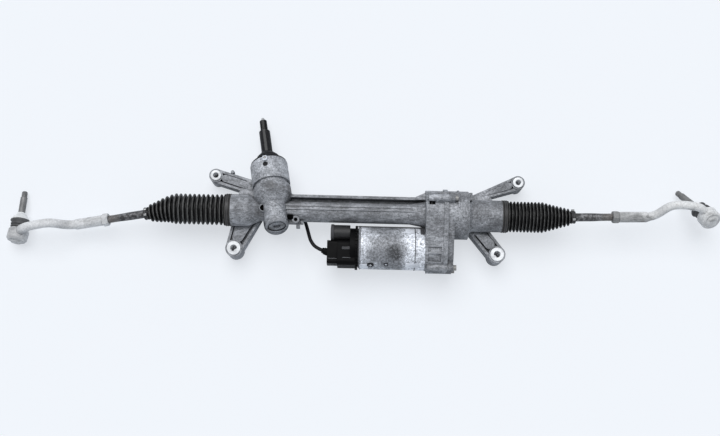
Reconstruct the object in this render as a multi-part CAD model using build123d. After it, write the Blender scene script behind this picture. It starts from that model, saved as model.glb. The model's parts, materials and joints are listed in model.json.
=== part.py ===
"""Belt-drive electric power steering gear with both tie rods, as an assembly of separate pieces.

The model is drawn about the rack: X runs along the rack, +Y is the rear of the gear and +Z is up.
When a piece is written it is moved, so that the row's origin is midway between the two front
mounting holes, on the plane of the four bushes' lower faces.
"""
from build123d import *
import math
import os

# ---------------------------------------------------------------- mounting
AXIS_REACH = 73.0  # rack axis behind the front mounting holes
AXIS_HEIGHT = 64.0  # rack axis above the mounting plane
FRONT_SPAN = 514.0  # between the two front holes
REAR_SPAN = 597.0  # between the two rear holes
REAR_REACH = 71.0  # rear holes behind the rack axis
BUSH_LENGTH = 55.0
BUSH_LIP = 3.0  # how far a bush stands out of its boss
BUSH_CHAMFER = 0.8
FRONT_BUSH_RADIUS = 13.5
FRONT_BORE_RADIUS = 6.5
REAR_BUSH_RADIUS = 10.5
REAR_BORE_RADIUS = 5.5
BOSS_WALL = 3.0  # cast wall around a bush
ARM_TOP = -14.0  # upper face of a mounting arm, from the rack axis
ARM_DEPTH = 32.0
ARM_RIM = 5.0  # raised edge round the pocket in an arm
ARM_POCKET = 9.0
ARM_RIB = 5.0  # rib down the middle of an arm's pocket
# each arm: the circles (x, y, radius) that its end wraps, then those that web it to the casting
LEFT_FRONT_ARM = (((243.0, 0.0, 14.0), (216.0, 0.0, 15.0)), ())
LEFT_REAR_ARM = (((228.0, 50.0, 14.0),), ((243.0, 36.0, 9.0), (206.0, 36.0, 14.0), (228.0, 10.0, 14.0)))
RIGHT_FRONT_ARM = (((211.0, -24.0, 12.0), (228.0, -22.0, 8.0)), ((214.0, 0.0, 14.0), (232.0, 0.0, 12.0)))
RIGHT_REAR_ARM = (((231.0, 45.0, 8.0),), ((240.0, 33.0, 8.0), (214.0, 34.0, 11.0), (228.0, 10.0, 14.0)))

# ---------------------------------------------------------------- clearances
PRESS_GAP = 0.1  # seats of pieces held in the same casting
RUNNING_GAP = 0.05  # shafts in their bearings and guides
BALL_GAP = 0.1  # joint balls in their races
FREE_GAP = 0.3  # pieces that pass each other
BORE_ROOM = 2.0  # rack to the cast bore

# ---------------------------------------------------------------- rack and pinion
RACK_RADIUS = 13.0
BALL_HALF_SPAN = 353.0  # rack centre to either inner ball
RACK_TRAVEL = 75.0  # each way from the centre
RACK_REST = -13.6  # where the rack stands in this pose
MODULE = 1.8
PINION_TEETH = 9
PRESSURE_ANGLE = 25.0
PROFILE_SHIFT = 0.25
BACKLASH = 0.25
COLUMN_LEAN = 10.0  # pinion axis from square to the rack
COLUMN_DIP = 20.0  # tip of the input shaft below its root
PINION_X = -178.6  # where the pinion axis crosses the rack
CENTRE_DISTANCE = 18.0
PINION_FACE = 36.0  # toothed length
TOOTH_MARGIN = 9.0  # rack teeth beyond the travel at each end

# ---------------------------------------------------------------- housing
HOUSING_HALF = 263.0  # rack centre to the shoulder behind either bellows
SEAT_LENGTH = 12.0  # spigot that a bellows cuff sits on
SEAT_RADIUS = 27.5
STOP_BORE_RADIUS = 19.5
SHOULDER_RADIUS = 31.0
SHOULDER_LENGTH = 34.0
TUBE_RADIUS = 20.0
FLARE_RADIUS = 26.0  # tube where it meets the belt housing, beside the motor
WEB_REAR = 32.0  # rear edge of the web behind the tube
WEB_TOP = -8.0  # floor of the channel behind the tube
WEB_THICK = 6.0
RIM_WIDTH = 5.5
RIM_TOP = 12.0
WEB_LEFT = -160.0
RIB_PLACES = (9.6, 1.6)  # the two ribs along the top of the tube, from the axis
RIB_WIDTHS = (3.8, 1.6)
RIB_RISE = 2.5
GUSSET_LENGTH = 19.0
GUSSET_REAR = 41.0
GUSSET_TOP = 16.0
LUG_PLACE = (-136.0, -19.0)
LUG_RADIUS = 7.0
LUG_REACH = 15.0
LUG_TOP = 21.0
LUG_HOLE_RADIUS = 2.6

# ---------------------------------------------------------------- column side
PINION_BARREL_RADIUS = 21.75
PINION_FOOT = 45.0  # foot of the pinion barrel from the rack axis
SENSOR_FLANGE_RADIUS = 37.0
SENSOR_JOINT = 38.0  # joint face between the castings, along the column
SENSOR_TOP = 95.0
SENSOR_WALL = 5.0
GROOVE_WIDTH = 9.0
GROOVE_DEPTH = 4.5
LOWER_BEARING = (-33.0, -21.0)
LOWER_BEARING_RADIUS = 13.0
LOWER_JOURNAL_RADIUS = 7.5
UPPER_BEARING = (22.0, 34.0)
UPPER_BEARING_RADIUS = 19.0
UPPER_JOURNAL_RADIUS = 11.0
PINION_TOP = 52.0
PLUG_RADIUS = 17.0
PLUG_THICK = 6.0
CAP_RADIUS = 22.5
CAP_TOP = 121.0
COVER_RADIUS = 35.5  # flat cover over the top of the tower
COVER_THICK = 3.0
SHAFT_RADIUS = 11.0
SHAFT_STEP = 0.4  # the shaft is thinner inside the tower
SHAFT_FOOT = 54.0
SHAFT_SHOULDER = 176.0
SPLINE_RADIUS = 7.2
SPLINE_ROOT = 6.2
SPLINE_TEETH = 24
SPLINE_START = 181.0
SPLINE_END = 203.0
PIN_RADIUS = 3.0
PIN_END = 210.0
TORSION_RADIUS = 3.0
TORSION_FOOT = 38.0

# ---------------------------------------------------------------- yoke
YOKE_RADIUS = 18.0
YOKE_LENGTH = 24.0
YOKE_TOP = 8.0  # yoke's upper edge below the rack axis
YOKE_BARREL_RADIUS = 25.0
YOKE_BARREL_END = 51.0
SPRING_ROOM = 5.0
YOKE_PLUG_LENGTH = 11.0

# ---------------------------------------------------------------- belt drive
MOTOR_FRONT = -67.5  # motor axis, from the rack axis
MOTOR_DROP = -8.0
MOTOR_RADIUS = 41.0
MOTOR_START = -15.0
BELT_HOUSING_START = 114.5
FLANGE_START = 149.0
SPLIT_X = 157.0  # joint face between the two castings
COVER_END = 169.0
BARREL_RADIUS = 47.0
BARREL_END = 197.5
BAR_DEPTH = (24.0, 39.0)  # the cast bar along the rear of the barrel, in Y
BAR_HEIGHT = (10.0, 34.0)
HOOP_X = 177.2
HOOP_WIDTH = 3.5
HOOP_RISE = 2.0
MARK_PLACE = (240.0, -4.0)  # round witness mark on the end housing
MARK_RADIUS = 5.8
POCKET_DEPTH = 3.0  # shallow pockets over the motor's end of the belt housing
MOTOR_PAD_RADIUS = 42.0
COVER_PAD_RADIUS = 36.0
BELT_WIDTH = 22.0
BELT_THICK = 3.4
BELT_START = 126.0
NUT_PULLEY_RADIUS = 38.0
MOTOR_PULLEY_RADIUS = 15.2
NUT_LEAD = 10.0
NUT_RADIUS = 27.0
NUT_END = 191.0
BEARING_RADIUS = 41.0
BEARING_LENGTH = 26.0
SCREW_RADIUS = 3.0
SCREW_HEAD_RADIUS = 5.2
SCREW_HEAD = 6.0
SCREW_BOSS_RADIUS = 7.0
RACK_SCREW_ANGLES = (62.0, 262.0, 310.0)  # about the rack axis, from +Y towards +Z
MOTOR_SCREW_ANGLES = (150.0, 210.0, 300.0)  # about the motor axis

# ---------------------------------------------------------------- motor and its electronics
MOTOR_WALL = 3.0
BEAD_X = 96.0  # raised bead round the can
BEAD_WIDTH = 1.6
BEAD_RISE = 0.6
PLUG_X = 10.0
PLUG_ANGLE = 148.0  # rubber plug about the motor axis, from +Y towards +Z
STATOR_LENGTH = 70.0
STATOR_BORE = 24.0
AIR_GAP = 0.5
ROTOR_SHAFT_RADIUS = 6.0
MOTOR_BEARING_RADIUS = 13.0
MOTOR_BEARING_LENGTH = 9.0
ECU_FLANGE_RADIUS = 43.0
ECU_FLANGE_THICK = 5.0
ECU_COMBS = 36
ECU_BACKING = 10.0  # round plinth between the flange and the unit's body
ECU_BODY_LENGTH = 34.0
ECU_BODY_REAR = -56.0
ECU_BODY_FRONT = -105.0
ECU_BODY_TOP = 22.0
ECU_BODY_FOOT = -40.0
POWER_LENGTH = 20.0
POWER_REAR = -56.5
POWER_FRONT = -102.0
POWER_TOP = 16.0
POWER_FOOT = -26.0
SIGNAL_RADIUS = 15.5
SIGNAL_AXIS = (-40.5, 2.0)
SIGNAL_END = -68.0
SOCKET_WALL = 2.2
CABLE_RADIUS = 3.5
CABLE_ROUTE = (
    (-170.9, 58.8, -38.2),
    (-164, 55.8, -50),
    (-152, 44, -54),
    (-139, 26, -52),
    (-128, 4, -46),
    (-119, -17, -37),
    (-113, -37, -27),
    (-108, -54, -21),
    (-97, -68, -16),
    (-84, -73, -13),
)

# ---------------------------------------------------------------- tie rods
SOCKET_RADIUS = 18.0
SOCKET_BACK = 20.0  # ball centre to the face against the rack
SOCKET_FRONT = 9.0
INNER_BALL_RADIUS = 13.0
RACE_WALL = 1.6
CAP_SHARE = 0.71  # edge of the cap behind the ball, in ball radii
BAND_SHARE = 0.22  # rear edge of the band round it, in ball radii
ROD_LENGTH = 328.0  # inner ball to outer ball
ROD_RADIUS = 8.0
ROD_NECK_RADIUS = 6.6
ROD_TAPER_END = 150.0
THREAD_RADIUS = 6.9
NUT_FLATS = 22.0
NUT_THICK = 12.0
SLEEVE_START = 153.0
SLEEVE_RADIUS = 10.4
THREAD_DEPTH = 45.0
ARM_BOW = 31.0
ARM_WIDTH = 11.0
HEAD_LEAN = 15.0
HEAD_RADIUS = 20.0
HEAD_DEPTH = 16.0
HEAD_RISE = 9.0
END_CAP_RADIUS = 14.0
END_CAP_THICK = 4.0
OUTER_BALL_RADIUS = 13.5
OUTER_RACE_WALL = 1.8
STUD_NECK_RADIUS = 6.0
SHANK_RADIUS = 6.7
SHANK_START = 44.0
SHANK_END = 76.0
STUD_TIP_RADIUS = 4.9
STUD_LENGTH = 89.0
BOOT_RADIUS = 17.5
BOOT_TOP = 30.0

# ---------------------------------------------------------------- bellows
BELLOWS_RADIUS = 30.0
BELLOWS_VALLEY = 24.5
BELLOWS_WALL = 2.0
BELLOWS_CUFF = 14.0
BELLOWS_FOLDS = 12
BELLOWS_TAPER_FOLDS = 5
BELLOWS_MOUTH = 68.0  # inner ball to the mouth on the rod
MOUTH_LENGTH = 9.0
CLAMP_WIDTH = 7.0
CLAMP_THICK = 1.2

# Rest pose of each tie rod: swing about Z, dip below level, turn of the stud about the rod,
# and how far the stud leans from its housing's axis towards the rod.
LEFT_REST = {"side": -1, "swing": 8.9, "dip": 6.9, "turn": -11.0, "tilt": -7.0}
RIGHT_REST = {"side": 1, "swing": -1.7, "dip": 0.0, "turn": -42.0, "tilt": 12.0}


# ================================================================= helpers
def unit(*xyz):
    return Vector(*xyz).normalized()


def bar(radius, start, end, y=0.0, z=0.0):
    """A round bar along X."""
    foot = Plane(origin=(start, y, z), x_dir=(0, 1, 0), z_dir=(1, 0, 0))
    return foot * extrude(Circle(radius), end - start)


def ring(outer, inner, start, end, y=0.0, z=0.0):
    return bar(outer, start, end, y, z) - bar(inner, start, end, y, z)


def slab(face, start, end):
    """A face drawn in the Y-Z plane, made a slab from start to end along X."""
    foot = Plane(origin=(start, 0, 0), x_dir=(0, 1, 0), z_dir=(1, 0, 0))
    return foot * extrude(face, end - start)


def plate(face, low, high):
    """A face drawn in the X-Y plane, made a plate from low to high along Z."""
    return Pos(0, 0, low) * extrude(face, high - low)


def block(x, y, z):
    """A box from its limits on each axis."""
    size = [b - a for a, b in (x, y, z)]
    middle = [(a + b) / 2 for a, b in (x, y, z)]
    return Pos(*middle) * Box(*size)


def turned(points, frame=None):
    """A solid turned about X from (along, radius) points, then set in a frame."""
    solid = revolve(make_face(Polyline([*points, points[0]])), Axis.X)
    return solid if frame is None else frame * solid


def tangent_hull(circles):
    """The outline that wraps round circles given as (x, y, radius)."""
    edges = [(Pos(x, y) * Circle(radius)).edge() for x, y, radius in circles]
    return make_hull(edges)


# ================================================================= column frame
LEAN = math.radians(COLUMN_LEAN)
DIP = math.radians(COLUMN_DIP)
COLUMN_AXIS = unit(-math.sin(LEAN), math.cos(LEAN) * math.cos(DIP), -math.cos(LEAN) * math.sin(DIP))
TOOTH_NORMAL = unit(0, math.sin(DIP), math.cos(DIP))
COLUMN = Plane(
    origin=(PINION_X, 0, 0), x_dir=-COLUMN_AXIS.cross(TOOTH_NORMAL), z_dir=COLUMN_AXIS
)
PITCH_RADIUS = MODULE * PINION_TEETH / 2
RACK_PITCH = math.pi * MODULE / math.cos(LEAN)


def column_bar(radius, start, end):
    """A round bar on the pinion's axis, from start to end along the column."""
    return COLUMN * (Pos(0, CENTRE_DISTANCE, start) * extrude(Circle(radius), end - start))


def column_ring(outer, inner, start, end):
    return column_bar(outer, start, end) - column_bar(inner, start, end)


def yoke_bar(radius, start, end):
    """A round bar square to the rack, on the side away from the pinion."""
    foot = Plane(
        origin=Vector(PINION_X, 0, 0) - TOOTH_NORMAL * start, x_dir=(1, 0, 0), z_dir=-TOOTH_NORMAL
    )
    return foot * extrude(Circle(radius), end - start)


# ================================================================= rack and pinion
def tooth_gap():
    """The space between two rack teeth, as a cutter along the pinion's axis."""
    pitch_line = CENTRE_DISTANCE - PITCH_RADIUS - PROFILE_SHIFT * MODULE
    root = pitch_line - 1.25 * MODULE
    slope = math.tan(math.radians(PRESSURE_ANGLE))
    half_pitch = math.pi * MODULE / 4
    half_root = half_pitch - (pitch_line - root) * slope
    half_top = half_root + (RACK_RADIUS + 1 - root) * slope
    outline = Polyline(
        (-half_root, root),
        (half_root, root),
        (half_top, RACK_RADIUS + 1),
        (-half_top, RACK_RADIUS + 1),
        close=True,
    )
    return COLUMN * extrude(make_face(outline), RACK_RADIUS * 1.6, both=True)


def rack_bar():
    """The round rack, with slanted teeth under the pinion and its plain ball-screw end."""
    left = RACK_REST - BALL_HALF_SPAN + SOCKET_BACK
    right = RACK_REST + BALL_HALF_SPAN - SOCKET_BACK
    body = bar(RACK_RADIUS, left, right)
    body = chamfer(body.edges().filter_by(GeomType.CIRCLE), 1.0)
    tip = CENTRE_DISTANCE - PITCH_RADIUS - PROFILE_SHIFT * MODULE + MODULE
    reach_left = RACK_TRAVEL - RACK_REST + TOOTH_MARGIN
    reach_right = RACK_TRAVEL + RACK_REST + TOOTH_MARGIN
    first = -math.floor(reach_left / RACK_PITCH)
    last = math.floor(reach_right / RACK_PITCH)
    flat = Box((last - first) * RACK_PITCH, RACK_RADIUS * 2, RACK_RADIUS)
    flat = Pos((last + first) * RACK_PITCH / 2, 0, tip + RACK_RADIUS / 2) * flat
    body -= Plane(origin=(PINION_X, 0, 0), x_dir=(1, 0, 0), z_dir=TOOTH_NORMAL) * flat
    gap = tooth_gap()
    body -= [Pos(i * RACK_PITCH, 0, 0) * gap for i in range(first, last + 1)]
    return body


def involute_tooth():
    """One pinion tooth about +Y, down to the root circle."""
    alpha = math.radians(PRESSURE_ANGLE)
    base = PITCH_RADIUS * math.cos(alpha)
    tip = PITCH_RADIUS + MODULE * (1 + PROFILE_SHIFT)
    root = PITCH_RADIUS - MODULE * (1.25 - PROFILE_SHIFT)
    thick = MODULE * (math.pi / 2 + 2 * PROFILE_SHIFT * math.tan(alpha)) - BACKLASH
    half_base = thick / (2 * PITCH_RADIUS) + math.tan(alpha) - alpha

    def on_flank(radius):
        roll = math.acos(base / radius)
        half = half_base - (math.tan(roll) - roll)
        return (radius * math.sin(half), radius * math.cos(half))

    steps = 4
    flank = [on_flank(base + (tip - base) * i / steps) for i in range(steps + 1)]
    foot = (root * math.sin(half_base) * 0.98, root * math.cos(half_base) * 0.98)
    right = [Line(foot, flank[0]), Spline(flank)]
    left = [edge.mirror(Plane.YZ) for edge in right]
    crest = Line(flank[-1], (-flank[-1][0], flank[-1][1]))
    sole = Line(foot, (-foot[0], foot[1]))
    return make_face([*right, *left, crest, sole])


def pinion():
    root = PITCH_RADIUS - MODULE * (1.25 - PROFILE_SHIFT)
    tooth = involute_tooth()
    profile = Circle(root) + [Rot(0, 0, i * 360 / PINION_TEETH) * tooth for i in range(PINION_TEETH)]
    # a tooth points at the rack, which lies towards -Y of the column frame
    blank = Rot(0, 0, 180) * extrude(profile, PINION_FACE)
    teeth = COLUMN * (Pos(0, CENTRE_DISTANCE, -PINION_FACE / 2) * blank)
    lower = LOWER_JOURNAL_RADIUS - RUNNING_GAP
    body = teeth + column_bar(lower, LOWER_BEARING[0] - 2, -PINION_FACE / 2)
    body += column_bar(UPPER_JOURNAL_RADIUS - RUNNING_GAP, PINION_FACE / 2, PINION_TOP)
    return body - column_bar(TORSION_RADIUS + PRESS_GAP, TORSION_FOOT, PINION_TOP)


def input_shaft():
    """The hollow input shaft, splined at its tip."""
    body = column_bar(SHAFT_RADIUS - SHAFT_STEP, SHAFT_FOOT, SHAFT_SHOULDER)
    body += column_bar(SHAFT_RADIUS, CAP_TOP + 1, SHAFT_SHOULDER)
    body += column_bar(SPLINE_ROOT, SHAFT_SHOULDER, SPLINE_END)
    land = COLUMN * (
        Pos(0, CENTRE_DISTANCE, SHAFT_SHOULDER)
        * loft([Circle(SHAFT_RADIUS), Pos(0, 0, SPLINE_START - SHAFT_SHOULDER) * Circle(SPLINE_ROOT)])
    )
    key_height = SPLINE_RADIUS - SPLINE_ROOT + 0.4
    key_width = math.pi * SPLINE_RADIUS / SPLINE_TEETH
    key = Pos(SPLINE_ROOT - 0.4 + key_height / 2, 0, (SPLINE_END - SPLINE_START) / 2)
    key = key * Box(key_height, key_width, SPLINE_END - SPLINE_START)
    keys = [Rot(0, 0, i * 360 / SPLINE_TEETH) * key for i in range(SPLINE_TEETH)]
    keys = COLUMN * (Pos(0, CENTRE_DISTANCE, SPLINE_START) * Compound(keys))
    body = body + land + keys.solids()
    return body - column_bar(TORSION_RADIUS + FREE_GAP, SHAFT_FOOT, SPLINE_END)


def torsion_bar():
    return column_bar(TORSION_RADIUS, TORSION_FOOT, PIN_END)


# ================================================================= castings
FRONT_HOLE = (FRONT_SPAN / 2, -AXIS_REACH)
REAR_HOLE = (REAR_SPAN / 2, REAR_REACH)
BUSH_FOOT = -AXIS_HEIGHT
BOSS_FOOT = BUSH_FOOT + BUSH_LIP
BOSS_TOP = BUSH_FOOT + BUSH_LENGTH - BUSH_LIP
ARM_FOOT = ARM_TOP - ARM_DEPTH


def mounting_arm(side, hole, bush_radius, wrapped, web):
    """A lug from a casting to one bush: a pocketed arm with a rib down its middle, and its boss.

    The arm wraps its circles and the boss. The web, where there is one, wraps the arm's circles
    and its own, inside the casting.
    """
    x, y = side * hole[0], hole[1]
    boss = bush_radius + BOSS_WALL
    ends = [(side * cx, cy, radius) for cx, cy, radius in wrapped]
    circles = [*ends, (x, y, boss)]
    arm = plate(tangent_hull(circles), ARM_FOOT, ARM_TOP)
    inner = [(cx, cy, radius - ARM_RIM) for cx, cy, radius in circles]
    arm -= plate(tangent_hull(inner), ARM_TOP - ARM_POCKET, ARM_TOP)
    if web:
        feet = [(side * cx, cy, radius) for cx, cy, radius in web]
        arm += plate(tangent_hull([*ends, *feet]), ARM_FOOT, ARM_TOP)
    arm += plate(Pos(x, y) * Circle(boss), BOSS_FOOT, BOSS_TOP)
    root_x = sum(cx for cx, _, _ in ends) / len(ends)
    root_y = sum(cy for _, cy, _ in ends) / len(ends)
    along = Vector(x - root_x, y - root_y, 0)
    frame = Plane(origin=(root_x, root_y, 0), x_dir=along, z_dir=along.cross(Vector(0, 0, 1)))
    floor = ARM_TOP - ARM_POCKET
    rib = Polyline(
        (0, floor), (along.length, floor), (along.length, BOSS_TOP), (0, ARM_TOP), close=True
    )
    return arm + frame * extrude(make_face(rib), ARM_RIB / 2, both=True)


def bush_bore(side, hole, bush_radius):
    outline = Pos(side * hole[0], hole[1]) * Circle(bush_radius + PRESS_GAP)
    return plate(outline, BUSH_FOOT - 1, BUSH_FOOT + BUSH_LENGTH + 60)


def bushes(hole, bush_radius, bore_radius):
    pair = []
    for side in (-1, 1):
        outline = Circle(bush_radius) - Circle(bore_radius)
        bush = plate(Pos(side * hole[0], hole[1]) * outline, BUSH_FOOT, BUSH_FOOT + BUSH_LENGTH)
        outer = [edge for edge in bush.edges().filter_by(GeomType.CIRCLE) if edge.radius > bore_radius]
        pair.append(chamfer(outer, BUSH_CHAMFER))
    return pair


def screw_places():
    """Where the casting screws stand round the belt housing, as (y, z, inward y, inward z)."""
    spots = []
    reach = BARREL_RADIUS + SCREW_HEAD_RADIUS + 1
    for angle in RACK_SCREW_ANGLES:
        turn = math.radians(angle)
        y, z = math.cos(turn), math.sin(turn)
        spots.append((reach * y, reach * z, (reach - 12) * y, (reach - 12) * z))
    reach = MOTOR_PAD_RADIUS + 1
    for angle in MOTOR_SCREW_ANGLES:
        turn = math.radians(angle)
        y, z = math.cos(turn), math.sin(turn)
        centre = (MOTOR_FRONT, MOTOR_DROP)
        inward = (centre[0] + (reach - 16) * y, centre[1] + (reach - 16) * z)
        spots.append((centre[0] + reach * y, centre[1] + reach * z, *inward))
    return spots


def screw_bosses(start, end):
    """The bosses of the casting screws, each webbed to the casting inside it."""
    bosses = []
    for y, z, inner_y, inner_z in screw_places():
        outline = tangent_hull([(y, z, SCREW_BOSS_RADIUS), (inner_y, inner_z, SCREW_BOSS_RADIUS)])
        bosses.append(slab(outline, start, end))
    return bosses


def screw_holes(start, end):
    return [bar(SCREW_RADIUS + PRESS_GAP, start, end, y, z) for y, z, _, _ in screw_places()]


def drive_outline(rack_radius, motor_radius):
    """The outline round the rack axis and the motor axis, in the Y-Z plane."""
    return tangent_hull([(0, 0, rack_radius), (MOTOR_FRONT, MOTOR_DROP, motor_radius)])


def tube_web():
    """The channel behind the tube, with its rim and the two ribs along the tube's top."""
    x = (WEB_LEFT, BELT_HOUSING_START + 2)
    foot = WEB_TOP - WEB_THICK
    web = block(x, (0, WEB_REAR), (foot, WEB_TOP))
    web += block(x, (WEB_REAR - RIM_WIDTH, WEB_REAR), (foot, RIM_TOP))
    for place, width in zip(RIB_PLACES, RIB_WIDTHS):
        crest = math.sqrt(TUBE_RADIUS**2 - place**2) + RIB_RISE
        web += block(x, (place - width / 2, place + width / 2), (0, crest))
    # gusset from the rim up to the belt housing
    gusset = Polyline(
        (BELT_HOUSING_START - GUSSET_LENGTH, WEB_REAR - RIM_WIDTH),
        (BELT_HOUSING_START - GUSSET_LENGTH, WEB_REAR),
        (BELT_HOUSING_START, GUSSET_REAR),
        (FLANGE_START, GUSSET_REAR),
        (FLANGE_START, WEB_REAR - RIM_WIDTH),
        close=True,
    )
    return web + plate(make_face(gusset), foot, GUSSET_TOP)


def harness_lug():
    """The small lug beside the pinion barrel, for the wiring's clip."""
    x, y = LUG_PLACE
    lug = block((x - LUG_REACH, x + LUG_RADIUS), (y - LUG_RADIUS, 0), (0, LUG_TOP - 6))
    lug += plate(Pos(x, y) * Circle(LUG_RADIUS), 0, LUG_TOP)
    lug += block((x + 1, x + LUG_RADIUS + 1), (y - LUG_RADIUS - 8, y), (0, LUG_TOP - 9))
    return lug - plate(Pos(x, y) * Circle(LUG_HOLE_RADIUS), LUG_TOP - 12, LUG_TOP)


def rack_housing():
    """The long casting: tube, left mounting arms, pinion and yoke barrels, front of the belt housing."""
    body = bar(TUBE_RADIUS, -HOUSING_HALF, BELT_HOUSING_START + 2)
    body += bar(SHOULDER_RADIUS, -HOUSING_HALF, -HOUSING_HALF + SHOULDER_LENGTH)
    body += turned(
        [
            (-HOUSING_HALF + SHOULDER_LENGTH, 0),
            (-HOUSING_HALF + SHOULDER_LENGTH, SHOULDER_RADIUS),
            (-HOUSING_HALF + SHOULDER_LENGTH + 22, TUBE_RADIUS),
            (-HOUSING_HALF + SHOULDER_LENGTH + 22, 0),
        ]
    )
    body += bar(SEAT_RADIUS, -HOUSING_HALF - SEAT_LENGTH, -HOUSING_HALF)
    body += tube_web()
    body += harness_lug()
    body += mounting_arm(-1, FRONT_HOLE, FRONT_BUSH_RADIUS, *LEFT_FRONT_ARM)
    body += mounting_arm(-1, REAR_HOLE, REAR_BUSH_RADIUS, *LEFT_REAR_ARM)
    # pinion barrel, flaring to the flange under the sensor housing
    body += column_bar(PINION_BARREL_RADIUS, -PINION_FOOT, SENSOR_JOINT)
    flare = loft(
        [
            Circle(PINION_BARREL_RADIUS),
            Pos(0, 0, SENSOR_JOINT * 0.5) * Circle(SENSOR_FLANGE_RADIUS),
        ]
    )
    body += COLUMN * (Pos(0, CENTRE_DISTANCE, 0) * flare)
    body += column_bar(SENSOR_FLANGE_RADIUS, SENSOR_JOINT * 0.5, SENSOR_JOINT)
    body += yoke_bar(YOKE_BARREL_RADIUS, 0, YOKE_BARREL_END)
    # front half of the belt housing, with the front end of the bar on its rear
    body += block((FLANGE_START - 12, SPLIT_X), BAR_DEPTH, BAR_HEIGHT)
    outline = drive_outline(BARREL_RADIUS, MOTOR_PAD_RADIUS)
    body += slab(outline, BELT_HOUSING_START, SPLIT_X)
    flange = drive_outline(BARREL_RADIUS + 3, MOTOR_PAD_RADIUS + 2)
    body += slab(flange, FLANGE_START, SPLIT_X)
    body += screw_bosses(BELT_HOUSING_START + 4, SPLIT_X)
    body += turned(
        [
            (BELT_HOUSING_START - 30, 0),
            (BELT_HOUSING_START - 30, TUBE_RADIUS),
            (BELT_HOUSING_START + 1, FLARE_RADIUS),
            (BELT_HOUSING_START + 1, 0),
        ]
    )
    return body - rack_housing_cavities()


def rack_housing_cavities():
    inner = RACK_RADIUS + BORE_ROOM
    cut = bar(inner, -HOUSING_HALF - SEAT_LENGTH, SPLIT_X)
    cut += bar(STOP_BORE_RADIUS, -HOUSING_HALF - SEAT_LENGTH, STOP_FACE_LEFT)
    cut += bar(RACK_BUSH_RADIUS + PRESS_GAP, STOP_FACE_LEFT - 1, STOP_FACE_LEFT + RACK_BUSH_LENGTH)
    cut += column_bar(LOWER_BEARING_RADIUS + PRESS_GAP, LOWER_BEARING[0] - 4, UPPER_BEARING[0] - 2)
    cut += column_bar(PLUG_RADIUS + PRESS_GAP, -PINION_FOOT, -PINION_FOOT + PLUG_THICK + 1.5)
    cut += column_bar(UPPER_BEARING_RADIUS + PRESS_GAP, UPPER_BEARING[0], SENSOR_JOINT)
    cut += column_bar(LOWER_BEARING_RADIUS, UPPER_BEARING[0] - 3, UPPER_BEARING[0] + 1)
    cut += column_bar(SENSOR_FLANGE_RADIUS + FREE_GAP, SENSOR_JOINT, CAP_TOP)
    cut += yoke_bar(YOKE_RADIUS + RUNNING_GAP, 0, YOKE_BARREL_END)
    cavity = drive_outline(NUT_PULLEY_RADIUS + 5, MOTOR_PULLEY_RADIUS + 8)
    cut += slab(cavity, BELT_START - 5, SPLIT_X)
    cut += bar(MOTOR_BEARING_RADIUS + 1, BELT_HOUSING_START, BELT_START, MOTOR_FRONT, MOTOR_DROP)
    cut += screw_holes(SPLIT_X - 28, SPLIT_X)
    skin = ring(MOTOR_PAD_RADIUS + 1, MOTOR_PAD_RADIUS - POCKET_DEPTH, BELT_HOUSING_START + 5,
                FLANGE_START - 4, MOTOR_FRONT, MOTOR_DROP)
    for low, high in ((-78, -68), (-95, -81)):
        cut += skin & block((BELT_HOUSING_START, SPLIT_X), (low, high), (0, BARREL_RADIUS))
    notch_y, notch_z = 18.0, BARREL_RADIUS - 4
    cut += bar(SCREW_HEAD_RADIUS + 1, BELT_HOUSING_START - 1, BELT_HOUSING_START + 17, notch_y, notch_z)
    cut += bush_bore(-1, FRONT_HOLE, FRONT_BUSH_RADIUS)
    cut += bush_bore(-1, REAR_HOLE, REAR_BUSH_RADIUS)
    return cut


def gear_housing():
    """The right casting: belt cover, ball-nut barrel, end housing and the right mounting arms."""
    body = slab(drive_outline(BARREL_RADIUS, COVER_PAD_RADIUS), SPLIT_X, COVER_END)
    body += bar(BARREL_RADIUS, SPLIT_X, BARREL_END)
    body += turned(
        [
            (BARREL_END - 1, 0),
            (BARREL_END - 1, SHOULDER_RADIUS + 6),
            (BARREL_END + 8, SHOULDER_RADIUS),
            (BARREL_END + 8, 0),
        ]
    )
    body += bar(SHOULDER_RADIUS, BARREL_END, HOUSING_HALF)
    body += bar(SEAT_RADIUS, HOUSING_HALF, HOUSING_HALF + SEAT_LENGTH)
    body += mounting_arm(1, FRONT_HOLE, FRONT_BUSH_RADIUS, *RIGHT_FRONT_ARM)
    body += mounting_arm(1, REAR_HOLE, REAR_BUSH_RADIUS, *RIGHT_REAR_ARM)
    # lengthwise bar on the rear of the barrel, and the rib that crosses it
    body += block((SPLIT_X, BARREL_END + 6), BAR_DEPTH, BAR_HEIGHT)
    hoop = bar(BARREL_RADIUS + HOOP_RISE, HOOP_X - HOOP_WIDTH / 2, HOOP_X + HOOP_WIDTH / 2)
    body += hoop & block((SPLIT_X, BARREL_END), (8, BARREL_RADIUS), (0, BARREL_RADIUS + HOOP_RISE))
    body += plate(Pos(*MARK_PLACE) * Circle(MARK_RADIUS), 0, SHOULDER_RADIUS + 1)
    body += screw_bosses(SPLIT_X, COVER_END)
    inner = RACK_RADIUS + BORE_ROOM
    body -= bar(inner, SPLIT_X, HOUSING_HALF + SEAT_LENGTH)
    body -= bar(STOP_BORE_RADIUS, -STOP_FACE_LEFT, HOUSING_HALF + SEAT_LENGTH)
    body -= bar(BEARING_RADIUS + PRESS_GAP, SPLIT_X, NUT_END + 1)
    body -= bar(MOTOR_PULLEY_RADIUS + 6, SPLIT_X, SPLIT_X + 3, MOTOR_FRONT, MOTOR_DROP)
    body -= screw_holes(SPLIT_X, COVER_END)
    body -= bush_bore(1, FRONT_HOLE, FRONT_BUSH_RADIUS)
    body -= bush_bore(1, REAR_HOLE, REAR_BUSH_RADIUS)
    return body


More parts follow.
